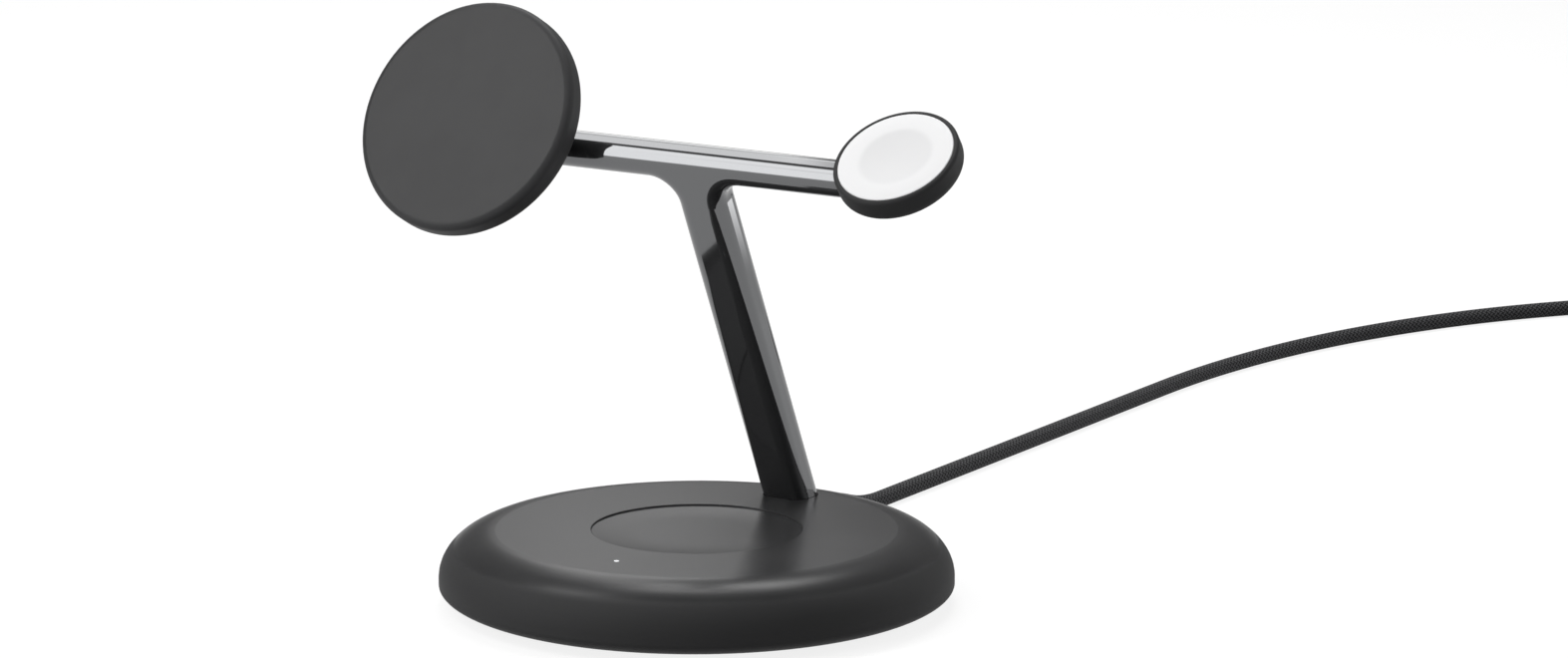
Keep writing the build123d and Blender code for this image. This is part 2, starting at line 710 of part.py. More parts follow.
with BuildPart() as phone_lead:
    with BuildLine() as phone_lead_path:
        FilletPolyline(*phone_route, radius=lead_bends)
    with BuildSketch(phone_lead_path.line ^ 0):
        Circle(lead_diameter / 2)
    sweep(path=phone_lead_path.line)
phone_lead.part.label = "phone_lead"
export_step(phone_lead.part, "parts/phone_lead.step")

with BuildPart() as watch_lead:
    with BuildLine() as watch_lead_path:
        FilletPolyline(*watch_route, radius=lead_bends)
    with BuildSketch(watch_lead_path.line ^ 0):
        Circle(lead_diameter / 2)
    sweep(path=watch_lead_path.line)
watch_lead.part.label = "watch_lead"
export_step(watch_lead.part, "parts/watch_lead.step")

# Phone disc: a soft-touch shell open at the back, a back plate, and the charging stack between them
with BuildPart() as phone_disc_shell:
    with BuildSketch(phone_face) as phone_outline:
        Circle(phone_radius)
    extrude(amount=-phone_thickness)
    phone_rims = phone_disc_shell.edges().filter_by(GeomType.CIRCLE)
    phone_rims = phone_rims.sort_by(lambda edge: edge.arc_center.dot(phone_out))
    fillet(phone_rims[-1], phone_front_round)
    fillet(phone_rims[0], phone_back_round)
    with BuildSketch(phone_face.offset(-phone_face_wall)) as phone_inside:
        Circle(phone_inner_radius)
    extrude(amount=phone_face_wall - phone_thickness, mode=Mode.SUBTRACT)
    with BuildSketch(phone_back) as phone_back_seat:
        Circle(phone_back_radius)
    extrude(amount=phone_back_thickness, mode=Mode.SUBTRACT)
phone_disc_shell.part.label = "phone_disc_shell"
export_step(phone_disc_shell.part, "parts/phone_disc_shell.step")

with BuildPart() as phone_back_plate:
    with BuildSketch(phone_back) as phone_back_outline:
        Circle(phone_back_radius - phone_back_clearance)
        Circle(neck_bore_diameter / 2, mode=Mode.SUBTRACT)
        with PolarLocations(phone_screw_pitch / 2, 2):
            Circle(neck_screw_diameter / 2 + screw_hole_clearance, mode=Mode.SUBTRACT)
    extrude(amount=phone_back_thickness)
phone_back_plate.part.label = "phone_back_plate"
export_step(phone_back_plate.part, "parts/phone_back_plate.step")

with BuildPart() as phone_magnets:
    with BuildSketch(phone_face.offset(-phone_face_wall)) as magnet_ring:
        Circle(magnet_outer)
        Circle(magnet_inner, mode=Mode.SUBTRACT)
        with PolarLocations(0, magnet_count):
            Rectangle(
                2 * magnet_outer, magnet_gap, align=(Align.MIN, Align.CENTER), mode=Mode.SUBTRACT
            )
    extrude(amount=-magnet_height)
phone_magnets.part.label = "phone_magnets"
export_step(phone_magnets.part, "parts/phone_magnets.step")

with BuildPart() as phone_coil:
    with BuildSketch(phone_face.offset(-phone_face_wall)) as phone_winding:
        Circle(magnet_inner - phone_coil_gap)
        Circle(phone_coil_inner, mode=Mode.SUBTRACT)
    extrude(amount=-coil_thickness)
phone_coil.part.label = "phone_coil"
export_step(phone_coil.part, "parts/phone_coil.step")

with BuildPart() as phone_ferrite:
    with BuildSketch(phone_face.offset(-phone_face_wall - coil_thickness)) as phone_ferrite_disc:
        Circle(phone_ferrite_radius)
    extrude(amount=-phone_ferrite_thickness)
phone_ferrite.part.label = "phone_ferrite"
export_step(phone_ferrite.part, "parts/phone_ferrite.step")

with BuildPart() as phone_circuit_board:
    with BuildSketch(phone_face.offset(-phone_board_level)) as phone_board_disc:
        Circle(phone_ferrite_radius - phone_board_inset)
    extrude(amount=-disc_board_thickness)
phone_circuit_board.part.label = "phone_circuit_board"
export_step(phone_circuit_board.part, "parts/phone_circuit_board.step")

with BuildPart() as phone_neck_screws:
    with BuildSketch(phone_back.offset(phone_back_thickness)) as phone_screw_heads:
        with PolarLocations(phone_screw_pitch / 2, 2):
            Circle(neck_screw_head / 2)
    extrude(amount=neck_screw_head_height)
    with BuildSketch(phone_back.offset(phone_back_thickness)) as phone_screw_shanks:
        with PolarLocations(phone_screw_pitch / 2, 2):
            Circle(neck_screw_diameter / 2)
    extrude(amount=-(phone_back_thickness + neck_screw_grip))
phone_neck_screws.part.label = "phone_neck_screws"
export_step(phone_neck_screws.part, "parts/phone_neck_screws.step")

# Watch disc: a deep cup with the white charging face let into its front
with BuildPart() as watch_disc_shell:
    with BuildSketch(watch_face) as watch_outline:
        Circle(watch_radius)
    extrude(amount=-watch_thickness)
    watch_rims = watch_disc_shell.edges().filter_by(GeomType.CIRCLE)
    watch_rims = watch_rims.sort_by(lambda edge: edge.arc_center.dot(watch_out))
    fillet(watch_rims[-1], watch_front_round)
    fillet(watch_rims[0], watch_back_round)
    with BuildSketch(watch_face) as watch_face_seat:
        Circle(watch_face_radius + watch_face_clearance)
    extrude(amount=-watch_face_thickness, mode=Mode.SUBTRACT)
    with BuildSketch(watch_face.offset(-watch_face_thickness)) as watch_inside:
        Circle(watch_inner_radius)
    extrude(amount=watch_face_thickness + watch_back_wall - watch_thickness, mode=Mode.SUBTRACT)
    with BuildSketch(watch_back) as watch_back_holes:
        Circle(neck_bore_diameter / 2)
        with PolarLocations(watch_screw_pitch / 2, 2):
            Circle(neck_screw_diameter / 2 + screw_hole_clearance)
    extrude(amount=watch_back_wall, mode=Mode.SUBTRACT)
watch_disc_shell.part.label = "watch_disc_shell"
export_step(watch_disc_shell.part, "parts/watch_disc_shell.step")

with BuildPart() as watch_charging_face:
    with BuildSketch(watch_face) as watch_puck:
        Circle(watch_face_radius)
    extrude(amount=-watch_face_thickness)
    puck_rims = watch_charging_face.edges().filter_by(GeomType.CIRCLE)
    fillet(puck_rims.sort_by(lambda edge: edge.arc_center.dot(watch_out))[-1], watch_face_round)
    dish_ball = (watch_dish_radius**2 + watch_dish_depth**2) / (2 * watch_dish_depth)
    with Locations(watch_face.offset(dish_ball - watch_dish_depth)):
        Sphere(dish_ball, mode=Mode.SUBTRACT)
watch_charging_face.part.label = "watch_charging_face"
export_step(watch_charging_face.part, "parts/watch_charging_face.step")

with BuildPart() as watch_magnet:
    with BuildSketch(watch_face.offset(-watch_face_thickness)) as watch_magnet_disc:
        Circle(watch_magnet_radius)
    extrude(amount=-watch_magnet_height)
watch_magnet.part.label = "watch_magnet"
export_step(watch_magnet.part, "parts/watch_magnet.step")

with BuildPart() as watch_coil:
    with BuildSketch(watch_face.offset(-watch_face_thickness)) as watch_winding:
        Circle(watch_inner_radius - watch_coil_margin)
        Circle(watch_magnet_radius + watch_coil_gap, mode=Mode.SUBTRACT)
    extrude(amount=-coil_thickness)
watch_coil.part.label = "watch_coil"
export_step(watch_coil.part, "parts/watch_coil.step")

with BuildPart() as watch_ferrite:
    with BuildSketch(watch_face.offset(-watch_face_thickness - coil_thickness)) as watch_ferrite_disc:
        Circle(watch_inner_radius - watch_ferrite_margin)
        Circle(watch_magnet_radius + watch_coil_gap, mode=Mode.SUBTRACT)
    extrude(amount=-watch_ferrite_thickness)
watch_ferrite.part.label = "watch_ferrite"
export_step(watch_ferrite.part, "parts/watch_ferrite.step")

with BuildPart() as watch_circuit_board:
    with BuildSketch(watch_face.offset(-watch_board_level)) as watch_board_disc:
        Circle(watch_inner_radius - watch_board_margin)
    extrude(amount=-disc_board_thickness)
watch_circuit_board.part.label = "watch_circuit_board"
export_step(watch_circuit_board.part, "parts/watch_circuit_board.step")

with BuildPart() as watch_neck_screws:
    with BuildSketch(watch_back.offset(watch_back_wall)) as watch_screw_heads:
        with PolarLocations(watch_screw_pitch / 2, 2):
            Circle(neck_screw_head / 2)
    extrude(amount=neck_screw_head_height)
    with BuildSketch(watch_back.offset(watch_back_wall)) as watch_screw_shanks:
        with PolarLocations(watch_screw_pitch / 2, 2):
            Circle(neck_screw_diameter / 2)
    extrude(amount=-(watch_back_wall + neck_screw_grip))
watch_neck_screws.part.label = "watch_neck_screws"
export_step(watch_neck_screws.part, "parts/watch_neck_screws.step")

# Moulded boot where the cord leaves the back of the base, seated in the cover's wall
boot_middle = Plane(origin=(cord_exit_x, 0, cord_exit_z))
boot_flange_front = inner_wall_y + boot_flange_thickness + boot_flange_tuck
with BuildPart() as cable_boot:
    with BuildSketch(boot_middle) as boot_half:
        with BuildLine():
            Polyline(
                (0, inner_wall_y),
                (boot_flange_diameter / 2, inner_wall_y),
                (boot_flange_diameter / 2, boot_flange_front),
                (boot_neck_diameter / 2, boot_flange_front),
                (boot_neck_diameter / 2, wall_y - boot_seat),
                (boot_root_diameter / 2, wall_y - boot_seat),
                (boot_tip_diameter / 2, boot_tip_y),
                (0, boot_tip_y),
                close=True,
            )
        make_face()
    revolve(axis=Axis((cord_exit_x, 0, cord_exit_z), (0, 1, 0)))
    add(base_top_cover.part, mode=Mode.SUBTRACT)
cable_boot.part.label = "cable_boot"
export_step(cable_boot.part, "parts/cable_boot.step")

# Short lead from the boot to the board, round the bracket
power_lead_x = -bracket_flange_width / 2 - power_lead_room
power_lead_back = bracket_screw_y + bracket_flange_depth / 2 + power_lead_diameter
power_lead_front = board_back_y + 2 * power_lead_diameter
power_lead_route = [
    (cord_exit_x, inner_wall_y, cord_exit_z),
    (cord_exit_x, inner_wall_y - power_lead_straight, cord_exit_z),
    (power_lead_x, power_lead_back, cord_exit_z),
    (power_lead_x, power_lead_front + power_lead_bend, connector_middle),
    (power_connector_x, power_lead_front, connector_middle),
    (power_connector_x, board_back_y, connector_middle),
]
with BuildPart() as inner_power_lead:
    with BuildLine() as power_lead_path:
        FilletPolyline(*power_lead_route, radius=power_lead_bend)
    with BuildSketch(power_lead_path.line ^ 0):
        Circle(power_lead_diameter / 2)
    sweep(path=power_lead_path.line)
inner_power_lead.part.label = "inner_power_lead"
export_step(inner_power_lead.part, "parts/inner_power_lead.step")

# Coil of the cord's spare length, lying on the floor behind and beside the base
coil_inner_edge = coil_inner_turn - cord_radius
coil_outer_edge = coil_outer_turn + cord_radius
coil_height = coil_layers * cord_diameter
coil_middle = (coil_inner_edge + coil_outer_edge) / 2
coil_plane = Plane(origin=(coil_centre_x, coil_centre_y, 0), x_dir=(1, 0, 0), z_dir=(0, -1, 0))
coil_axis = Axis((coil_centre_x, coil_centre_y, 0), (0, 0, 1))
with BuildPart() as power_cord_coil:
    with BuildSketch(coil_plane) as coil_section:
        with Locations((coil_middle, coil_height / 2)):
            RectangleRounded(coil_outer_edge - coil_inner_edge, coil_height, coil_section_round)
    revolve(axis=coil_axis)
power_cord_coil.part.label = "power_cord_coil"
export_step(power_cord_coil.part, "parts/power_cord_coil.step")

# Strap that ties the coil, over its top and down both sides
tie_turn = math.degrees(tie_width / coil_middle)
tie_plane = Plane(
    origin=(coil_centre_x, coil_centre_y, 0),
    x_dir=(math.cos(math.radians(tie_angle)), math.sin(math.radians(tie_angle)), 0),
    z_dir=(math.sin(math.radians(tie_angle)), -math.cos(math.radians(tie_angle)), 0),
)
with BuildPart() as cord_tie:
    with BuildSketch(tie_plane) as tie_section:
        with Locations((coil_middle, coil_height / 2)):
            RectangleRounded(
                coil_outer_edge - coil_inner_edge + 2 * tie_thickness,
                coil_height + 2 * tie_thickness,
                coil_section_round + tie_thickness,
            )
            RectangleRounded(
                coil_outer_edge - coil_inner_edge, coil_height, coil_section_round, mode=Mode.SUBTRACT
            )
        below_floor = (Align.CENTER, Align.MAX)
        Rectangle(4 * coil_outer_edge, coil_height, align=below_floor, mode=Mode.SUBTRACT)
    revolve(axis=coil_axis, revolution_arc=tie_turn)
cord_tie.part.label = "cord_tie"
export_step(cord_tie.part, "parts/cord_tie.step")

# Cord from the boot: down to the floor, straight back, then round to the coil
cord_route = [
    (cord_exit_x, boot_tip_y, cord_exit_z),
    (cord_exit_x, 83.0, cord_exit_z),
    (-13.0, 99.0, 2.2),
    (-16.8, 294.4, 2.2),
    (-8.4, 348.6, 2.2),
    (9.4, 395.4, 2.2),
    (33.0, 431.5, 2.2),
    (56.3, 453.5, 2.2),
]
cord_radii = bend_radii(cord_route)
print("cord bend radii", [round(radius, 1) for radius in cord_radii])
with BuildPart() as power_cord:
    with BuildLine() as cord_path:
        FilletPolyline(*cord_route, radius=cord_radii)
    with BuildSketch(cord_path.line ^ 0):
        Circle(cord_radius)
    sweep(path=cord_path.line)
    tube_share = power_cord.part.volume / (math.pi * cord_radius**2 * cord_path.wire().length)
    add(power_cord_coil.part, mode=Mode.SUBTRACT)
power_cord.part.label = "power_cord"
export_step(power_cord.part, "parts/power_cord.step")
print("cord length", round(cord_path.wire().length, 1))
print("cord tube volume over section times length", round(tube_share, 4))

# Tail of the cord from where it leaves the top of the coil down to the plug
grip_middle = grip_thickness / 2
tail_x = coil_centre_x + coil_outer_turn
tail_start_y = coil_centre_y - math.sqrt(coil_outer_edge**2 - (coil_outer_turn - cord_radius) ** 2)
tail_route = [
    (tail_x, tail_start_y, coil_height - cord_radius),
    (tail_x, 404.0, coil_height - cord_radius),
    (tail_x, 394.0, grip_middle),
    (tail_x, grip_front_y + grip_length, grip_middle),
]
tail_radii = bend_radii(tail_route)
print("tail bend radii", [round(radius, 1) for radius in tail_radii])
with BuildPart() as power_cord_tail:
    with BuildLine() as tail_path:
        FilletPolyline(*tail_route, radius=tail_radii)
    with BuildSketch(tail_path.line ^ 0):
        Circle(cord_radius)
    sweep(path=tail_path.line)
power_cord_tail.part.label = "power_cord_tail"
export_step(power_cord_tail.part, "parts/power_cord_tail.step")

# Plug: a moulded grip, a metal shell and the contact tongue inside it
grip_plane = Plane(
    origin=(tail_x, grip_front_y + grip_length, grip_middle), x_dir=(1, 0, 0), z_dir=(0, -1, 0)
)
with BuildPart() as plug_grip:
    with BuildSketch(grip_plane) as grip_outline:
        RectangleRounded(grip_width, grip_thickness, grip_round)
    extrude(amount=grip_length)
    fillet(plug_grip.edges().group_by(Axis.Y)[-1], grip_back_round)
    fillet(plug_grip.edges().group_by(Axis.Y)[0], grip_front_round)
plug_grip.part.label = "plug_grip"
export_step(plug_grip.part, "parts/plug_grip.step")

with BuildPart() as plug_shell:
    with BuildSketch(grip_plane.offset(grip_length)) as shell_outline:
        RectangleRounded(shell_width, shell_thickness, shell_round)
    extrude(amount=shell_length)
    with BuildSketch(grip_plane.offset(grip_length + shell_wall)) as shell_inside:
        RectangleRounded(
            shell_width - 2 * shell_wall, shell_thickness - 2 * shell_wall, shell_round - shell_wall
        )
    extrude(amount=shell_length, mode=Mode.SUBTRACT)
plug_shell.part.label = "plug_shell"
export_step(plug_shell.part, "parts/plug_shell.step")

with BuildPart() as plug_tongue:
    with BuildSketch(grip_plane.offset(grip_length + shell_wall)) as tongue_outline:
        Rectangle(tongue_width, tongue_thickness)
    extrude(amount=tongue_length)
plug_tongue.part.label = "plug_tongue"
export_step(plug_tongue.part, "parts/plug_tongue.step")
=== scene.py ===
"""Looks of a desk charger for a phone, a watch and earbuds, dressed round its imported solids.

Metres, +Z up, the front towards -Y, the origin on the floor under the middle of the base.
"""

import logging
import math
from dataclasses import dataclass
from enum import Enum
from typing import Any, Mapping, Optional, Sequence, Union

import bpy
import numpy as np
from mathutils import Matrix, Vector


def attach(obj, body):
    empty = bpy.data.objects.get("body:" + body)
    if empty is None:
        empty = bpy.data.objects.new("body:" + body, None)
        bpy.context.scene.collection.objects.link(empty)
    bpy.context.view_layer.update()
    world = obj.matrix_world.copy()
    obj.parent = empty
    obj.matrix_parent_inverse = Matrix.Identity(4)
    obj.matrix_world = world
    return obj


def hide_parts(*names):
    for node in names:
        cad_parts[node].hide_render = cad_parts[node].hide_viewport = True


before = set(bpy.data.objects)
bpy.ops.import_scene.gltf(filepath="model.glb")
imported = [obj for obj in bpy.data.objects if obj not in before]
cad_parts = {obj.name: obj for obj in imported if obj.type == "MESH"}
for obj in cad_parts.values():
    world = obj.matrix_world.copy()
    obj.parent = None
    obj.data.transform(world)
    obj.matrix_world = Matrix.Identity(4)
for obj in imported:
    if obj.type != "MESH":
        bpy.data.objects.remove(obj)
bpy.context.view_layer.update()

log = logging.getLogger("charger")

MM = 0.001
BODY = "root"
BRAID_MAP = "braid"

Pair = tuple[float, float]
Colour = tuple[float, float, float]
Point = tuple[float, float, float]

ORIGIN: Point = (0.0, 0.0, 0.0)
UP: Point = (0.0, 0.0, 1.0)
EVEN: Point = (1.0, 1.0, 1.0)
PHONE_CENTRE: Point = (-60.0 * MM, -12.045 * MM, 117.625 * MM)
PHONE_OUT: Point = (0.0, -0.873772, 0.486335)
WATCH_CENTRE: Point = (60.8 * MM, -6.807 * MM, 117.960 * MM)
WATCH_OUT: Point = (0.0, -0.589196, 0.807990)
WATCH_DISH_RADIUS = 9.1 * MM
LIGHT_CENTRE: Point = (1.8 * MM, -38.2 * MM, 0.0)

CREASE = math.radians(35.0)
CLOUD_EDGES: Pair = (0.3, 0.7)
RICH_DETAIL = 3.0


class Socket:
    """A value in a node tree that takes part in Python expressions; each operator adds a Math node."""

    def __init__(self, shader: "Shader", link: bpy.types.NodeSocket) -> None:
        """Keeps the shader that owns the socket and the socket itself."""
        self.shader = shader
        self.link = link

    def math(self, operation: str, first: "Value", second: "Value" = 0.0) -> "Socket":
        """Adds one Math node.

        Args:
            operation: Blender's name of the operation.
            first: its first value.
            second: its second value, where it has one.

        Returns:
            The node's result.
        """
        return self.shader.add("ShaderNodeMath", {"operation": operation}, {0: first, 1: second})

    def __add__(self, other: "Value") -> "Socket":
        """This plus other."""
        return self.math("ADD", self, other)

    def __radd__(self, other: "Value") -> "Socket":
        """Other plus this."""
        return self.math("ADD", other, self)

    def __sub__(self, other: "Value") -> "Socket":
        """This minus other."""
        return self.math("SUBTRACT", self, other)

    def __rsub__(self, other: "Value") -> "Socket":
        """Other minus this."""
        return self.math("SUBTRACT", other, self)

    def __mul__(self, other: "Value") -> "Socket":
        """This times other."""
        return self.math("MULTIPLY", self, other)

    def __rmul__(self, other: "Value") -> "Socket":
        """Other times this."""
        return self.math("MULTIPLY", other, self)

    def __truediv__(self, other: "Value") -> "Socket":
        """This over other."""
        return self.math("DIVIDE", self, other)

    def __rtruediv__(self, other: "Value") -> "Socket":
        """Other over this."""
        return self.math("DIVIDE", other, self)

    def size(self) -> "Socket":
        """This without its sign."""
        return self.math("ABSOLUTE", self)

    def fraction(self) -> "Socket":
        """What this has past its whole part."""
        return self.math("FRACT", self)

    def whole(self) -> "Socket":
        """The whole part of this."""
        return self.math("FLOOR", self)

    def above(self, limit: "Value") -> "Socket":
        """1 where this is over the limit, 0 elsewhere."""
        return self.math("GREATER_THAN", self, limit)

    def most(self, other: "Value") -> "Socket":
        """The larger of this and other."""
        return self.math("MAXIMUM", self, other)

    def crown(self) -> "Socket":
        """Height of rounded strands one unit apart: 0 at each whole number, 1 half way to the next."""
        return 1.0 - ((self.fraction() - 0.5) * 2.0).size()

    def swing(self, spread: float) -> "Socket":
        """This, which runs from 0 to 1, as a value that swings about 0 over that spread."""
        return (self - 0.5) * spread

    def ramp(self, low: float, high: float) -> "Socket":
        """0 below low and 1 above high, with a smooth step between them."""
        return self.shader.add(
            "ShaderNodeMapRange",
            {"interpolation_type": "SMOOTHSTEP"},
            {"Value": self, "From Min": low, "From Max": high},
        )


Value = Union[Socket, float]
Linked = Union[Socket, float, Sequence[float]]
Owner = Union[bpy.types.Material, bpy.types.World, bpy.types.Light]


class Shader:
    """A node tree of a material, a world or a lamp, whose nodes are added from Python expressions."""

    def __init__(self, owner: Owner) -> None:
        """Empties the owner's node tree and keeps both.

        Args:
            owner: a material, a world or a lamp.
        """
        owner.use_nodes = True
        self.owner = owner
        self.tree = owner.node_tree
        self.tree.nodes.clear()

    @classmethod
    def named(cls, name: str) -> "Shader":
        """Shader of a new material of that name."""
        return cls(bpy.data.materials.new(name))

    def close(self, kind: str, shade: "Socket") -> None:
        """Links a shade to the tree's output, a node of that kind."""
        output = self.tree.nodes.new(kind)
        self.tree.links.new(shade.link, output.inputs["Surface"])

    def add(
        self,
        kind: str,
        settings: Optional[Mapping[str, Any]] = None,
        sockets: Optional[Mapping[Union[str, int], Linked]] = None,
        out: Union[str, int] = 0,
    ) -> Socket:
        """Adds any node: its settings are set first, then its sockets are filled or linked.

        Args:
            kind: Blender's type of the node.
            settings: attributes of the node.
            sockets: a value or a link for each input that isn't left as it is.
            out: the output to return.

        Returns:
            That output.
        """
        node = self.tree.nodes.new(kind)
        for name, value in (settings or {}).items():
            setattr(node, name, value)
        for key, value in (sockets or {}).items():
            if isinstance(value, Socket):
                self.tree.links.new(value.link, node.inputs[key])
            else:
                node.inputs[key].default_value = value
        return Socket(self, node.outputs[out])

    def places(self) -> Socket:
        """Object coordinates, in metres."""
        return self.add("ShaderNodeTexCoord", out="Object")

    def parts(self, vector: Socket) -> tuple[Socket, Socket, Socket]:
        """The three numbers of a vector."""
        outputs = self.add("ShaderNodeSeparateXYZ", None, {"Vector": vector}).link.node.outputs
        return Socket(self, outputs[0]), Socket(self, outputs[1]), Socket(self, outputs[2])

    def noise(self, scale: float, detail: float = 2.0, stretch: Point = EVEN) -> Socket:
        """Cloudy values from 0 to 1, with that many clouds to a metre, squeezed by the stretch."""
        mapped = self.add("ShaderNodeMapping", None, {"Vector": self.places(), "Scale": stretch})
        return self.add(
            "ShaderNodeTexNoise", None, {"Vector": mapped, "Scale": scale, "Detail": detail}, "Fac"
        )

    def mix(self, share: Value, first: Linked, second: Linked) -> Socket:
        """Mixes two colours.

        Args:
            share: 0 for the first, 1 for the second.
            first: the first colour.
            second: the second colour.

        Returns:
            The colour between them.
        """
        first = first if isinstance(first, Socket) else (*first, 1.0)
        second = second if isinstance(second, Socket) else (*second, 1.0)
        return self.add("ShaderNodeMix", {"data_type": "RGBA"}, {0: share, 6: first, 7: second}, 2)

    def bump(self, height: Socket, depth: float) -> Socket:
        """Normal of a surface that rises by depth metres where height is 1."""
        return self.add("ShaderNodeBump", None, {"Height": height, "Distance": depth})

    def away_from(self, centre: Point, axis: Point) -> Socket:
        """Distance of a place from the line through centre along axis, in metres."""
        offset = self.add(
            "ShaderNodeVectorMath", {"operation": "SUBTRACT"}, {0: self.places(), 1: centre}
        )
        return self.add(
            "ShaderNodeVectorMath",
            {"operation": "LENGTH"},
            {0: self.add("ShaderNodeVectorMath", {"operation": "CROSS_PRODUCT"}, {0: offset, 1: axis})},
            "Value",
        )

    def surface(self, sockets: Mapping[str, Linked]) -> bpy.types.Material:
        """Closes the material with one Principled surface.

        Args:
            sockets: values and links of the surface's inputs.

        Returns:
            The material.
        """
        filled = {
            key: (*value, 1.0) if isinstance(value, tuple) else value for key, value in sockets.items()
        }
        shade = self.add("ShaderNodeBsdfPrincipled", None, filled)
        self.close("ShaderNodeOutputMaterial", shade)
        return self.owner


@dataclass(frozen=True)
class Grained:
    """A moulded, cast or rolled finish: a clouded colour and a fine grain in roughness and height.

    The grain is noise on Object coordinates, and the stretch draws it out into brush lines.
    """

    colour: Colour
    second: Colour
    roughness: float
    spread: float = 0.06
    grain: float = 2500.0
    depth: float = 0.02 * MM
    metallic: float = 0.0
    specular: float = 0.5
    cloud: float = 60.0
    stretch: Point = EVEN

    def make(self, name: str) -> bpy.types.Material:
        """Makes the material.

        Args:
            name: its name.

        Returns:
            The material.
        """
        shader = Shader.named(name)
        cloud = shader.noise(self.cloud, RICH_DETAIL)
        grain = shader.noise(self.grain, stretch=self.stretch)
        return shader.surface(
            {
                "Base Color": shader.mix(cloud.ramp(*CLOUD_EDGES), self.colour, self.second),
                "Roughness": self.roughness + grain.swing(self.spread) + cloud.swing(self.spread),
                "Metallic": self.metallic,
                "Specular IOR Level": self.specular,
                "Normal": shader.bump(grain, self.depth),
            }
        )


@dataclass(frozen=True)
class Wound:
    """Wire laid flat in rings about an axis, each ring a rounded strand with painted shade in the line
    between.
    """

    centre: Point
    axis: Point
    pitch: float = 0.5 * MM
    depth: float = 0.15 * MM
    gap_share: float = 0.35
    colour: Colour = (0.72, 0.36, 0.18)
    gap_painted_shade: Colour = (0.12, 0.05, 0.03)
    roughness: float = 0.45
    crown_polish: float = 0.15

    def make(self, name: str) -> bpy.types.Material:
        """Makes the material.

        Args:
            name: its name.

        Returns:
            The material.
        """
        shader = Shader.named(name)
        crown = (shader.away_from(self.centre, self.axis) / self.pitch).crown()
        return shader.surface(
            {
                # painted shade: the gap colour darkens the line between strands, where the crevice would be
                # in shade
                "Base Color": shader.mix(crown.ramp(0.0, self.gap_share), self.gap_painted_shade, self.colour),
                "Roughness": self.roughness - crown * self.crown_polish,
                "Metallic": 1.0,
                "Normal": shader.bump(crown, self.depth),
            }
        )


@dataclass(frozen=True)
class SoftTouch:
    """A rubbery dark coat with a fine grain, coarser on a rim than on the face within it.

    The distance from the axis tells the two apart: the rim starts softly at the face's radius.
    """

    centre: Point = ORIGIN
    axis: Point = UP
    face_radius: float = 0.0
    soft_edge: float = 1.0 * MM
    face_roughness: float = 0.31
    rim_roughness: float = 0.7
    specular: float = 0.22
    colour: Colour = (0.032, 0.032, 0.033)
    second: Colour = (0.038, 0.038, 0.039)
    rim_colour_and_painted_light: Colour = (0.035, 0.035, 0.036)
    cloud: float = 55.0
    cloud_spread: float = 0.04
    grain: float = 3200.0
    grain_spread: float = 0.06
    depth: float = 0.01 * MM

    def make(self, name: str) -> bpy.types.Material:
        """Makes the material.

        Args:
            name: its name.

        Returns:
            The material.
        """
        shader = Shader.named(name)
        cloud = shader.noise(self.cloud, RICH_DETAIL)
        grain = shader.noise(self.grain)
        out = shader.away_from(self.centre, self.axis)
        face = 1.0 - out.ramp(self.face_radius - self.soft_edge, self.face_radius + self.soft_edge)
        clouded = shader.mix(cloud.ramp(*CLOUD_EDGES), self.colour, self.second)
        rough = self.rim_roughness + face * (self.face_roughness - self.rim_roughness)
        return shader.surface(
            {
                # the rim colour is the coat's own colour on the base, and a lighter painted light on the
                # phone disc's rim
                "Base Color": shader.mix(face, self.rim_colour_and_painted_light, clouded),
                "Roughness": rough + grain.swing(self.grain_spread) + cloud.swing(self.cloud_spread),
                "Specular IOR Level": self.specular,
                "Normal": shader.bump(grain, self.depth),
            }
        )


@dataclass(frozen=True)
class Polished:
    """Dark plated metal with a mirror polish, and faint lines along the crossbar from the buffing wheel."""

    colour: Colour = (0.150, 0.152, 0.156)
    roughness: float = 0.05
    metallic: float = 0.82
    lines: float = 900.0
    lines_stretch: Point = (0.02, 1.0, 1.0)
    lines_spread: float = 0.03
    haze: float = 45.0
    haze_spread: float = 0.02

    def make(self, name: str) -> bpy.types.Material:
        """Makes the material.

        Args:
            name: its name.

        Returns:
            The material.
        """
        shader = Shader.named(name)
        lines = shader.noise(self.lines, RICH_DETAIL, self.lines_stretch)
        haze = shader.noise(self.haze)
        return shader.surface(
            {
                "Base Color": self.colour,
                "Metallic": self.metallic,
                "Roughness": self.roughness + lines.swing(self.lines_spread) + haze.swing(self.haze_spread),
            }
        )


@dataclass(frozen=True)
class DishedFace:
    """Smooth white moulding whose shallow middle dish takes painted shade: a darker colour with a soft edge.
    """

    colour: Colour = (0.88, 0.88, 0.885)
    dish_painted_shade: Colour = (0.80, 0.80, 0.805)
    centre: Point = WATCH_CENTRE
    axis: Point = WATCH_OUT
    dish_radius: float = WATCH_DISH_RADIUS
    soft_edge: float = 0.9 * MM
    roughness: float = 0.42
    cloud: float = 90.0
    spread: float = 0.06
    specular: float = 0.3

    def make(self, name: str) -> bpy.types.Material:
        """Makes the material.

        Args:
            name: its name.

        Returns:
            The material.
        """
        shader = Shader.named(name)
        out = shader.away_from(self.centre, self.axis).ramp(
            self.dish_radius - self.soft_edge, self.dish_radius + self.soft_edge
        )
        cloud = shader.noise(self.cloud)
        return shader.surface(
            {
                # painted shade: inside the dish radius the colour darkens to the dish's shade
                "Base Color": shader.mix(out, self.dish_painted_shade, self.colour),
                "Roughness": self.roughness + cloud.swing(self.spread),
                "Specular IOR Level": self.specular,
            }
        )


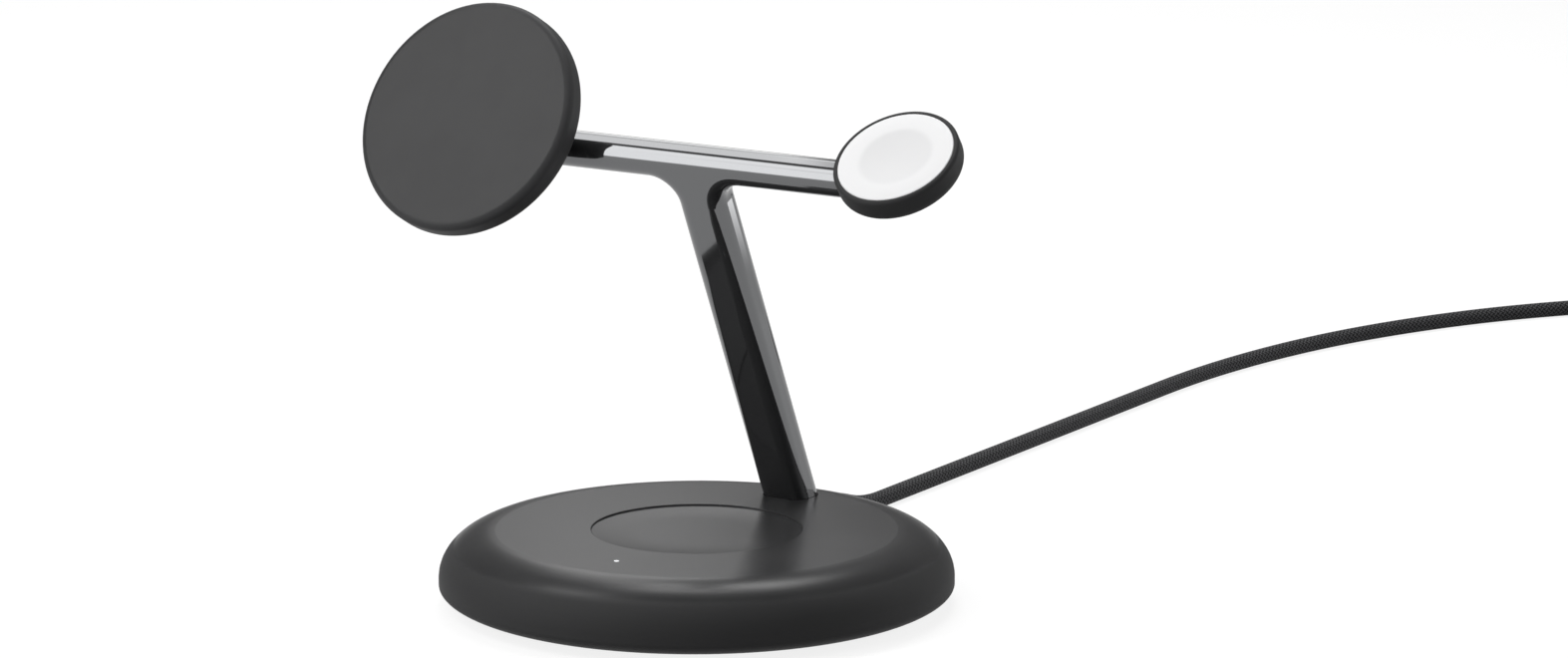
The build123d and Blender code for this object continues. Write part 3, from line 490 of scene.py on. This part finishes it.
@dataclass(frozen=True)
class Braided:
    """Braided yarn on a cord's own map: U is the length in metres, V the turn from 0 to 1.

    Two sets of yarns wind opposite ways. Each passes over two and under two of the other set: the sum of
    the whole numbers of both sets, halved, has a fraction that says which set lies on top.
    """

    valley_painted_shade: Colour = (0.004, 0.004, 0.005)
    light: Colour = (0.088, 0.088, 0.092)
    shade_edges: Pair = (0.2, 0.8)
    yarns: float = 10.0
    pick: float = 0.8 * MM
    depth: float = 0.15 * MM
    roughness: float = 0.8
    specular: float = 0.2
    sheen: float = 0.04
    sheen_roughness: float = 0.5

    def make(self, name: str) -> bpy.types.Material:
        """Makes the material.

        Args:
            name: its name.

        Returns:
            The material.
        """
        shader = Shader.named(name)
        length, turn, _ = shader.parts(shader.add("ShaderNodeUVMap", {"uv_map": BRAID_MAP}))
        along = length / (self.pick * 2.0)
        around = turn * self.yarns
        right = around + along
        left = around - along
        top = ((right.whole() + left.whole()) * 0.5).fraction().above(0.25)
        height = top * right.crown() + (1.0 - top) * left.crown()
        return shader.surface(
            {
                # painted shade: the colour falls to near black in the low parts between yarns and stays the
                # yarn's colour on the crowns
                "Base Color": shader.mix(height.ramp(*self.shade_edges), self.valley_painted_shade, self.light),
                "Roughness": self.roughness,
                "Specular IOR Level": self.specular,
                "Sheen Weight": self.sheen,
                "Sheen Roughness": self.sheen_roughness,
                "Normal": shader.bump(height, self.depth),
            }
        )


@dataclass(frozen=True)
class Glowing:
    """A clear light pipe whose end glows white, brightest at its middle."""

    centre: Point
    reach: float
    core_share: float = 0.2
    colour: Colour = (0.85, 0.87, 0.9)
    roughness: float = 0.25
    edge_glow: Colour = (0.25, 0.26, 0.28)
    core_glow: Colour = (1.0, 1.0, 1.0)

    def make(self, name: str) -> bpy.types.Material:
        """Makes the material.

        Args:
            name: its name.

        Returns:
            The material.
        """
        shader = Shader.named(name)
        core = 1.0 - shader.away_from(self.centre, UP).ramp(self.core_share * self.reach, self.reach)
        return shader.surface(
            {
                "Base Color": self.colour,
                "Roughness": self.roughness,
                "Emission Color": shader.mix(core, self.edge_glow, self.core_glow),
                "Emission Strength": 1.0,
            }
        )


@dataclass(frozen=True)
class Seat:
    """A place in the model: an origin and three unit axes."""

    origin: np.ndarray
    x: np.ndarray
    y: np.ndarray
    z: np.ndarray

    @classmethod
    def facing(cls, origin: Sequence[float], out: Sequence[float]) -> "Seat":
        """Seat at origin whose Z is out, and whose X stays level along the model's X.

        Args:
            origin: the seat's origin in metres.
            out: direction of its Z, square to the model's X.

        Returns:
            The seat.
        """
        z = np.asarray(out, float) / np.linalg.norm(out)
        x = np.array([1.0, 0.0, 0.0])
        return cls(np.asarray(origin, float), x, np.cross(z, x), z)

    def put(self, points: np.ndarray) -> np.ndarray:
        """Model points of local points: origin + x X + y Y + z Z."""
        axes = np.stack([self.x, self.y, self.z])
        return self.origin + points @ axes


def piece(name: str, points: np.ndarray, faces: Sequence[Sequence[int]]) -> bpy.types.Object:
    """Puts points and faces into a new mesh object with smooth shading.

    Args:
        name: name of the piece.
        points: array of vertices.
        faces: vertex numbers of each face.

    Returns:
        The object, linked to the scene.
    """
    mesh = bpy.data.meshes.new(name)
    mesh.from_pydata(points.reshape(-1, 3).tolist(), [], faces)
    mesh.update()
    mesh.shade_smooth()
    made = bpy.data.objects.new(name, mesh)
    bpy.context.scene.collection.objects.link(made)
    return made


def grid_faces(rows: int, columns: int, closed: bool) -> list[list[int]]:
    """Quads of a grid of points numbered row by row.

    Args:
        rows: number of rows.
        columns: number of points in a row.
        closed: whether the last column joins the first.

    Returns:
        Four vertex numbers for each quad.
    """
    row = np.arange(rows - 1)[:, None] * columns
    column = np.arange(columns if closed else columns - 1)[None, :]
    following = (column + 1) % columns
    quads = np.stack(
        [row + column, row + columns + column, row + columns + following, row + following], axis=-1
    )
    return quads.reshape(-1, 4).tolist()


def round_angles(sides: int) -> np.ndarray:
    """Even steps round a full turn from 0, in radians."""
    return np.arange(sides) * (2.0 * math.pi / sides)


def revolved(name: str, profile: np.ndarray, seat: Seat, sides: int) -> bpy.types.Object:
    """Closed surface that a profile sweeps about a seat's Z.

    A point at radius r and height h turns to origin + r (cos a X + sin a Y) + h Z. The profile's first and
    last points are the two poles, on the axis: the profile runs outwards on top and back underneath.

    Args:
        name: name of the piece.
        profile: array of radius and height.
        seat: place of the axis.
        sides: number of steps round.

    Returns:
        The piece's object, with its creases kept sharp.
    """
    angle = round_angles(sides)
    rows = profile[1:-1]
    radius, height = rows[:, :1], np.repeat(rows[:, 1:], sides, axis=1)
    rings = np.stack([radius * np.cos(angle), radius * np.sin(angle), height], axis=-1).reshape(-1, 3)
    poles = np.array([[0.0, 0.0, profile[0, 1]], [0.0, 0.0, profile[-1, 1]]])
    first = np.arange(sides)
    last = first + (len(rows) - 1) * sides
    top = np.stack([np.full(sides, len(rings)), first, np.roll(first, -1)], axis=1)
    under = np.stack([last, np.full(sides, len(rings) + 1), np.roll(last, -1)], axis=1)
    faces = [*grid_faces(len(rows), sides, True), *top.tolist(), *under.tolist()]
    made = piece(name, seat.put(np.concatenate([rings, poles])), faces)
    made.data.set_sharp_from_angle(angle=CREASE)
    return made


class Lamp(Enum):
    """The softboxes round the object, each named for where it stands."""

    BACK = "lamp_back"
    LOW_LEFT = "lamp_low_left"
    HIGH_LEFT = "lamp_high_left"
    BACK_LEFT = "lamp_back_left"
    TOP_LEFT = "lamp_top_left"
    HIGH_RIGHT = "lamp_high_right"
    RIGHT = "lamp_right"
    FRONT = "lamp_front"


@dataclass(frozen=True)
class Softbox:
    """A panel that fades towards its edges: its long way runs from foot to head, and it faces a point."""

    lamp: Lamp
    foot: Point
    head: Point
    width: float
    radiance: float
    fade: float = 0.2
    head_fade: float = 0.2
    aim: Point = (0.0, 0.0, 0.09)

    def turned(self) -> Matrix:
        """Place and turn of the panel: Y along its long way, -Z towards the point, X across.

        Returns:
            The panel's matrix.
        """
        foot, head = Vector(self.foot), Vector(self.head)
        middle = (foot + head) / 2
        along = (head - foot).normalized()
        away = middle - Vector(self.aim)
        away = (away - along * away.dot(along)).normalized()
        axes = Matrix((along.cross(away), along, away)).transposed().to_4x4()
        return Matrix.Translation(middle) @ axes

    def light(self) -> bpy.types.Object:
        """Makes the lamp; its power is pi times its radiance times its area.

        Returns:
            The lamp's object.
        """
        lamp = bpy.data.lights.new(self.lamp.value, "AREA")
        lamp.shape = "RECTANGLE"
        lamp.size = self.width
        lamp.size_y = (Vector(self.head) - Vector(self.foot)).length
        lamp.energy = math.pi * self.radiance * lamp.size * lamp.size_y
        shader = Shader(lamp)
        across, along, _ = shader.parts(shader.add("ShaderNodeNewGeometry", out="Parametric"))
        sides = across.ramp(0.0, self.fade) * (1.0 - across).ramp(0.0, self.fade)
        ends = along.ramp(0.0, self.fade) * (1.0 - along).ramp(0.0, self.head_fade)
        glow = shader.add("ShaderNodeEmission", None, {"Strength": sides * ends})
        shader.close("ShaderNodeOutputLight", glow)
        made = bpy.data.objects.new(self.lamp.value, lamp)
        made.matrix_world = self.turned()
        bpy.context.scene.collection.objects.link(made)
        return made


@dataclass
class WatchFace:
    """The white puck of the watch disc: a flat ring, a rounded rim and a shallow dish with a soft edge."""

    centre: Point = WATCH_CENTRE
    out: Point = WATCH_OUT
    radius: float = 14.5 * MM
    thickness: float = 1.2 * MM
    rim_round: float = 0.4 * MM
    dish_radius: float = WATCH_DISH_RADIUS
    dish_depth: float = 0.35 * MM
    dish_steps: int = 40
    round_steps: int = 8
    sides: int = 160

    def profile(self) -> np.ndarray:
        """Half section from the dish's middle, over the ring and the rim, to the middle underneath.

        The dish's height at radius r is a ball's: its depth times ((r / dish radius) squared minus 1).

        Returns:
            Array of radius and height.
        """
        r = np.linspace(0.0, self.dish_radius, self.dish_steps)
        dish = np.stack([r, self.dish_depth * ((r / self.dish_radius) ** 2 - 1.0)], axis=1)
        turn = np.linspace(0.0, math.pi / 2, self.round_steps)
        rim = np.stack([np.sin(turn), np.cos(turn)], axis=1) * self.rim_round
        rim += (self.radius - self.rim_round, -self.rim_round)
        under = [[self.radius, -self.thickness], [0.0, -self.thickness]]
        return np.concatenate([dish, rim, under])

    def build(self, finish: bpy.types.Material) -> bpy.types.Object:
        """Builds the puck and lets it stand for its solid.

        Args:
            finish: its material.

        Returns:
            The puck's object.
        """
        puck = revolved("watch_face_puck", self.profile(), Seat.facing(self.centre, self.out), self.sides)
        puck.data.materials.append(finish)
        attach(puck, BODY)
        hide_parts("watch_charging_face")
        return puck


@dataclass
class BootRings:
    """The rounded rings moulded round the cord's boot, which let it bend evenly."""

    place: Pair = (-12.4 * MM, 7.4 * MM)
    root_y: float = 62.28 * MM
    tip_y: float = 72.978 * MM
    root_radius: float = 4.1 * MM
    tip_radius: float = 2.9 * MM
    first_y: float = 64.6 * MM
    last_y: float = 72.0 * MM
    count: int = 5
    thickness: float = 0.5 * MM
    sides: int = 48
    section_sides: int = 12

    def build(self, finish: bpy.types.Material) -> bpy.types.Object:
        """Builds all the rings as one piece and lets it ride with the base.

        A ring's point is at radius R + t cos b from the boot's axis and at y + t sin b along it, where R is
        the boot's radius there, which falls linearly to its tip, and t the ring's thickness.

        Args:
            finish: their material.

        Returns:
            The rings' object.
        """
        y = np.linspace(self.first_y, self.last_y, self.count)[:, None, None]
        around = round_angles(self.sides)[None, :, None]
        b = round_angles(self.section_sides)[None, None, :]
        boot = np.interp(y, [self.root_y, self.tip_y], [self.root_radius, self.tip_radius])
        radius = boot + self.thickness * np.cos(b)
        grid = np.broadcast_arrays(
            self.place[0] + radius * np.cos(around),
            y + self.thickness * np.sin(b),
            self.place[1] + radius * np.sin(around),
        )
        points = np.stack(grid, axis=-1)
        ring = np.array(grid_faces(self.sides + 1, self.section_sides, True))
        size = self.sides * self.section_sides
        faces = np.concatenate([ring % size + step * size for step in range(self.count)])
        rings = piece("cable_boot_rings", points, faces[:, ::-1].tolist())
        rings.data.materials.append(finish)
        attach(rings, BODY)
        return rings


@dataclass
class PowerCord:
    """The braided cord: from the boot down to the floor, straight back, into its coil, on to the plug."""

    exit: Point = (-12.4 * MM, 72.978 * MM, 7.4 * MM)
    diameter: float = 4.4 * MM
    length: float = 1.5
    coil_centre: Pair = (78.9 * MM, 430.9 * MM)
    coil_start_radius: float = 32.0 * MM
    coil_inner_radius: float = 18.6 * MM
    coil_outer_radius: float = 33.4 * MM
    coil_start_angle: float = 135.0
    turns_in: float = 3.0
    turns_up: float = 0.1875
    turns_out: float = 3.1875
    turn_points: int = 16
    sides: int = 24
    line_steps: int = 10
    first_runs: Sequence[Point] = (
        (-12.4, 72.978, 7.4),
        (-12.4, 83.0, 7.4),
        (-13.0, 99.0, 2.2),
        (-13.3, 116.0, 2.2),
        (-15.7, 239.6, 2.2),
        (-16.8, 294.4, 2.2),
        (-8.4, 348.6, 2.2),
        (9.4, 395.4, 2.2),
        (33.0, 431.5, 2.2),
        (56.3, 453.5, 2.2),
    )
    last_runs: Sequence[Point] = (
        (112.3, 413.76, 6.6),
        (112.3, 404.0, 6.6),
        (112.3, 394.0, 3.2),
        (112.3, 384.0, 3.2),
    )

    def coil(self) -> np.ndarray:
        """Control points of the coil: a spiral inwards on the floor, a step up, a spiral outwards on top.

        A point's angle falls by an even step; its radius goes linearly from the start to the inner turn,
        stays there over the step, and goes linearly out again; all radii are divided by the cosine of half
        a step, because the spline passes inside its control points.

        Returns:
            Array of points in metres.
        """
        total = self.turns_in + self.turns_up + self.turns_out
        turn = np.arange(1, round(total * self.turn_points) + 1) / self.turn_points
        stops = np.cumsum([0.0, self.turns_in, self.turns_up, self.turns_out])
        inner = self.coil_inner_radius
        radii = [self.coil_start_radius, inner, inner, self.coil_outer_radius]
        radius = np.interp(turn, stops, radii) / math.cos(math.pi / self.turn_points)
        low = self.diameter / 2
        height = np.interp(turn, stops, [low, low, low + self.diameter, low + self.diameter])
        angle = np.radians(self.coil_start_angle - 360.0 * turn)
        x = self.coil_centre[0] + radius * np.cos(angle)
        y = self.coil_centre[1] + radius * np.sin(angle)
        return np.stack([x, y, height], axis=1)

    def line(self) -> np.ndarray:
        """Points along the cord's middle line, read from one smooth spline through its route.

        Returns:
            Array of points in metres.
        """
        route = np.vstack([np.array(self.first_runs) * MM, self.coil(), np.array(self.last_runs) * MM])
        curve = bpy.data.curves.new("cord_line", "CURVE")
        curve.dimensions = "3D"
        curve.resolution_u = self.line_steps
        spline = curve.splines.new("NURBS")
        spline.points.add(len(route) - 1)
        weighted = np.hstack([route, np.ones((len(route), 1))])
        spline.points.foreach_set("co", weighted.ravel())
        spline.order_u = 3
        spline.use_endpoint_u = True
        holder = bpy.data.objects.new("cord_line", curve)
        sampled = bpy.data.meshes.new_from_object(holder)
        points = np.zeros(len(sampled.vertices) * 3)
        sampled.vertices.foreach_get("co", points)
        bpy.data.objects.remove(holder)
        bpy.data.curves.remove(curve)
        bpy.data.meshes.remove(sampled)
        return points.reshape(-1, 3)

    def tube(self, line: np.ndarray) -> bpy.types.Object:
        """Round tube along the line, with its own map of length and turn.

        A ring's point is line + radius (cos a side + sin a up), with side square to the line and level.

        Args:
            line: the middle line's points.

        Returns:
            The cord's object.
        """
        ahead = np.gradient(line, axis=0)
        ahead /= np.linalg.norm(ahead, axis=1, keepdims=True)
        side = np.cross(ahead, UP)
        side /= np.linalg.norm(side, axis=1, keepdims=True)
        above = np.cross(side, ahead)
        angle = round_angles(self.sides)[None, :, None]
        spread = np.cos(angle) * side[:, None] + np.sin(angle) * above[:, None]
        rings = line[:, None] + self.diameter / 2 * spread
        count = len(line)
        faces = grid_faces(count, self.sides, True)
        first = list(range(self.sides))
        last = list(range((count - 1) * self.sides, count * self.sides))
        cord = piece("power_cord_braid", rings, [*faces, first, last[::-1]])
        reach = np.concatenate([[0.0], np.cumsum(np.linalg.norm(np.diff(line, axis=0), axis=1))])
        quad = np.array(faces)
        u = reach[quad // self.sides]
        v = (quad % self.sides) / self.sides
        v[:, 2:] = np.where(v[:, 2:] < v[:, :1], 1.0, v[:, 2:])
        chart = np.concatenate([np.stack([u, v], axis=-1).reshape(-1, 2), np.zeros((2 * self.sides, 2))])
        layer = cord.data.uv_layers.new(name=BRAID_MAP)
        layer.uv.foreach_set("vector", chart.astype(np.float32).ravel())
        return cord

    def build(self, finish: bpy.types.Material) -> bpy.types.Object:
        """Args:
            finish: the braid's material.

        Returns:
            The cord's object.
        """
        line = self.line()
        cord = self.tube(line)
        cord.data.materials.append(finish)
        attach(cord, BODY)
        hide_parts("power_cord", "power_cord_coil", "power_cord_tail")
        return cord


@dataclass
class Studio:
    """The white floor, the softboxes round the object and the camera at the photograph's angle."""

    camera_place: Point = (0.836387, -1.285348, 0.390089)
    azimuth: float = 32.251
    elevation: float = 11.854
    lens: float = 147.32
    sensor: float = 36.0
    far_clip: float = 50.0
    floor_reach: float = 8.0
    floor_white: float = 0.84
    floor_matt: float = 0.2
    ambient: float = 0.2

    def seen_direct(self, shader: Shader) -> Socket:
        """Tells the rays that see the floor itself from those that only gather its light.

        Args:
            shader: the floor's shader.

        Returns:
            1 for rays from the camera, a mirror or through glass, 0 for the rest.
        """
        paths = shader.add("ShaderNodeLightPath").link.node.outputs
        rays = ("Is Camera Ray", "Is Glossy Ray", "Is Transmission Ray")
        camera, glossy, through = (Socket(shader, paths[name]) for name in rays)
        return camera.most(glossy).most(through)

    def floor(self) -> bpy.types.Object:
        """Makes the pale floor: a matt share that keeps the shadow, and plain white to the camera.

        Returns:
            The floor's object.
        """
        reach = self.floor_reach
        corners = [[-reach, -reach, 0.0], [reach, -reach, 0.0], [reach, reach, 0.0], [-reach, reach, 0.0]]
        made = piece("floor", np.array(corners), [[0, 1, 2, 3]])
        shader = Shader.named("studio_floor")
        matt = shader.add("ShaderNodeBsdfDiffuse", None, {"Color": (*(self.floor_matt,) * 3, 1.0)})
        white = shader.add(
            "ShaderNodeEmission", None, {"Strength": self.seen_direct(shader) * self.floor_white}
        )
        both = shader.add("ShaderNodeAddShader", None, {0: matt, 1: white})
        shader.close("ShaderNodeOutputMaterial", both)
        made.data.materials.append(shader.owner)
        return made

    def world(self) -> None:
        """Lights the room a little, and keeps it white to the camera."""
        world = bpy.data.worlds.new("studio_room")
        bpy.context.scene.world = world
        shader = Shader(world)
        camera = shader.add("ShaderNodeLightPath", out="Is Camera Ray")
        strength = camera * (1.0 - self.ambient) + self.ambient
        room = shader.add("ShaderNodeBackground", None, {"Strength": strength})
        shader.close("ShaderNodeOutputWorld", room)

    def softboxes(self) -> Sequence[Softbox]:
        """The lamps, from the main one down.

        Returns:
            One softbox for each lamp.
        """
        return (
            Softbox(Lamp.BACK, (-0.38, 0.78, 0.92), (-0.20, 0.27, 1.27), 0.66, 8.0),
            Softbox(Lamp.LOW_LEFT, (-0.63, -1.08, -0.02), (-0.63, -0.55, 0.98), 0.45, 5.0, 0.15, 0.15),
            Softbox(Lamp.HIGH_LEFT, (-0.63, -0.63, 0.83), (-0.63, 0.09, 1.27), 0.45, 5.0, 0.2, 0.35),
            Softbox(Lamp.BACK_LEFT, (-0.685, 1.07, 0.34), (-0.685, 0.62, 1.02), 0.18, 2.5, 0.15),
            Softbox(Lamp.TOP_LEFT, (-0.73, 0.66, 0.98), (-0.73, 0.385, 1.17), 0.2, 3.2, 0.15, 0.2),
            Softbox(Lamp.HIGH_RIGHT, (1.05, 0.45, 0.30), (0.85, 0.35, 0.90), 0.8, 2.2),
            Softbox(Lamp.RIGHT, (0.20, 0.30, 0.01), (0.22, 0.34, 0.20), 0.08, 5.0),
            Softbox(Lamp.FRONT, (0.15, -0.95, 1.05), (0.15, -0.35, 1.35), 1.1, 1.8),
        )

    def camera(self) -> bpy.types.Object:
        """Makes the camera that looks as the photograph does.

        Returns:
            The camera's object.
        """
        turn, climb = math.radians(self.azimuth), math.radians(self.elevation)
        back = Vector(
            (math.sin(turn) * math.cos(climb), -math.cos(turn) * math.cos(climb), math.sin(climb))
        )
        right = Vector((math.cos(turn), math.sin(turn), 0.0))
        above = back.cross(right)
        lens = bpy.data.cameras.new("photo_camera")
        lens.lens = self.lens
        lens.sensor_width = self.sensor
        lens.clip_end = self.far_clip
        made = bpy.data.objects.new("photo_camera", lens)
        turned = Matrix((right, above, back)).transposed().to_4x4()
        made.matrix_world = Matrix.Translation(self.camera_place) @ turned
        bpy.context.scene.collection.objects.link(made)
        bpy.context.scene.camera = made
        return made

    def build(self) -> None:
        """Sets up the whole studio."""
        self.floor()
        self.world()
        for box in self.softboxes():
            box.light()
        self.camera()
        bpy.context.scene.view_settings.view_transform = "Standard"


def finishes() -> dict[str, bpy.types.Material]:
    """Makes the materials, each under the record's slot that it is for, or under the one node that it is for.

    Returns:
        Materials by slot or node.
    """
    looks = {
        "soft_touch": SoftTouch(),
        "polished_arm": Polished(),
        "white_face": DishedFace(),
        "foot_rubber": Grained((0.018, 0.018, 0.019), (0.026, 0.026, 0.027), 0.8),
        "inner_plastic": Grained((0.02, 0.02, 0.021), (0.03, 0.03, 0.031), 0.55),
        "ballast_steel": Grained(
            (0.42, 0.42, 0.44), (0.52, 0.52, 0.53), 0.4, metallic=1.0, stretch=(0.05, 1.0, 1.0)
        ),
        "screw_steel": Grained((0.36, 0.36, 0.38), (0.46, 0.46, 0.47), 0.35, metallic=1.0),
        "board_green": Grained((0.01, 0.09, 0.035), (0.02, 0.13, 0.05), 0.4, cloud=400.0),
        "component_black": Grained((0.012, 0.012, 0.013), (0.03, 0.03, 0.032), 0.5, cloud=300.0),
        "ferrite": Grained((0.03, 0.03, 0.033), (0.05, 0.05, 0.052), 0.7, grain=1500.0),
        "magnet_nickel": Grained((0.6, 0.59, 0.56), (0.66, 0.65, 0.62), 0.25, metallic=1.0),
        "bracket_zinc": Grained((0.4, 0.41, 0.42), (0.5, 0.5, 0.51), 0.5, metallic=1.0, grain=900.0),
        "light_pipe": Glowing(LIGHT_CENTRE, reach=0.65 * MM),
        "lead_wire": Grained((0.02, 0.02, 0.02), (0.035, 0.035, 0.035), 0.5),
        "cord_braid": Braided(),
        "plug_metal": Grained(
            (0.5, 0.5, 0.52), (0.58, 0.58, 0.6), 0.28, metallic=1.0, stretch=(1.0, 0.05, 1.0)
        ),
        "base_top_cover": SoftTouch(face_radius=60.0 * MM),
        "phone_disc_shell": SoftTouch(
            PHONE_CENTRE,
            PHONE_OUT,
            face_radius=28.8 * MM,
            rim_roughness=0.58,
            # painted light: the lighter rim colour lightens the disc's rim as a light from the right would
            rim_colour_and_painted_light=(0.056, 0.056, 0.058),
            specular=0.17,
        ),
        "earbud_coil": Wound(ORIGIN, UP),
        "phone_coil": Wound(PHONE_CENTRE, PHONE_OUT),
        "watch_coil": Wound(WATCH_CENTRE, WATCH_OUT),
    }
    return {key: look.make(key + "_finish") for key, look in looks.items()}


def dress_nodes(made: Mapping[str, bpy.types.Material]) -> None:
    """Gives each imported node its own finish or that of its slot, in place of its plain colour.

    Args:
        made: materials by slot or node.
    """
    for name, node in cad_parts.items():
        slot = node.data.materials[0].name
        node.data.materials[0] = made[name if name in made else slot]
        log.info("%s takes %s", name, node.data.materials[0].name)


def main() -> None:
    """Builds the studio and the pieces in order."""
    logging.basicConfig(level=logging.INFO, format="%(name)s: %(message)s")
    Studio().build()
    made = finishes()
    dress_nodes(made)
    for built in (
        PowerCord().build(made["cord_braid"]),
        WatchFace().build(made["white_face"]),
        BootRings().build(made["foot_rubber"]),
    ):
        log.info("%s built", built.name)


if __name__ == "__main__":
    main()
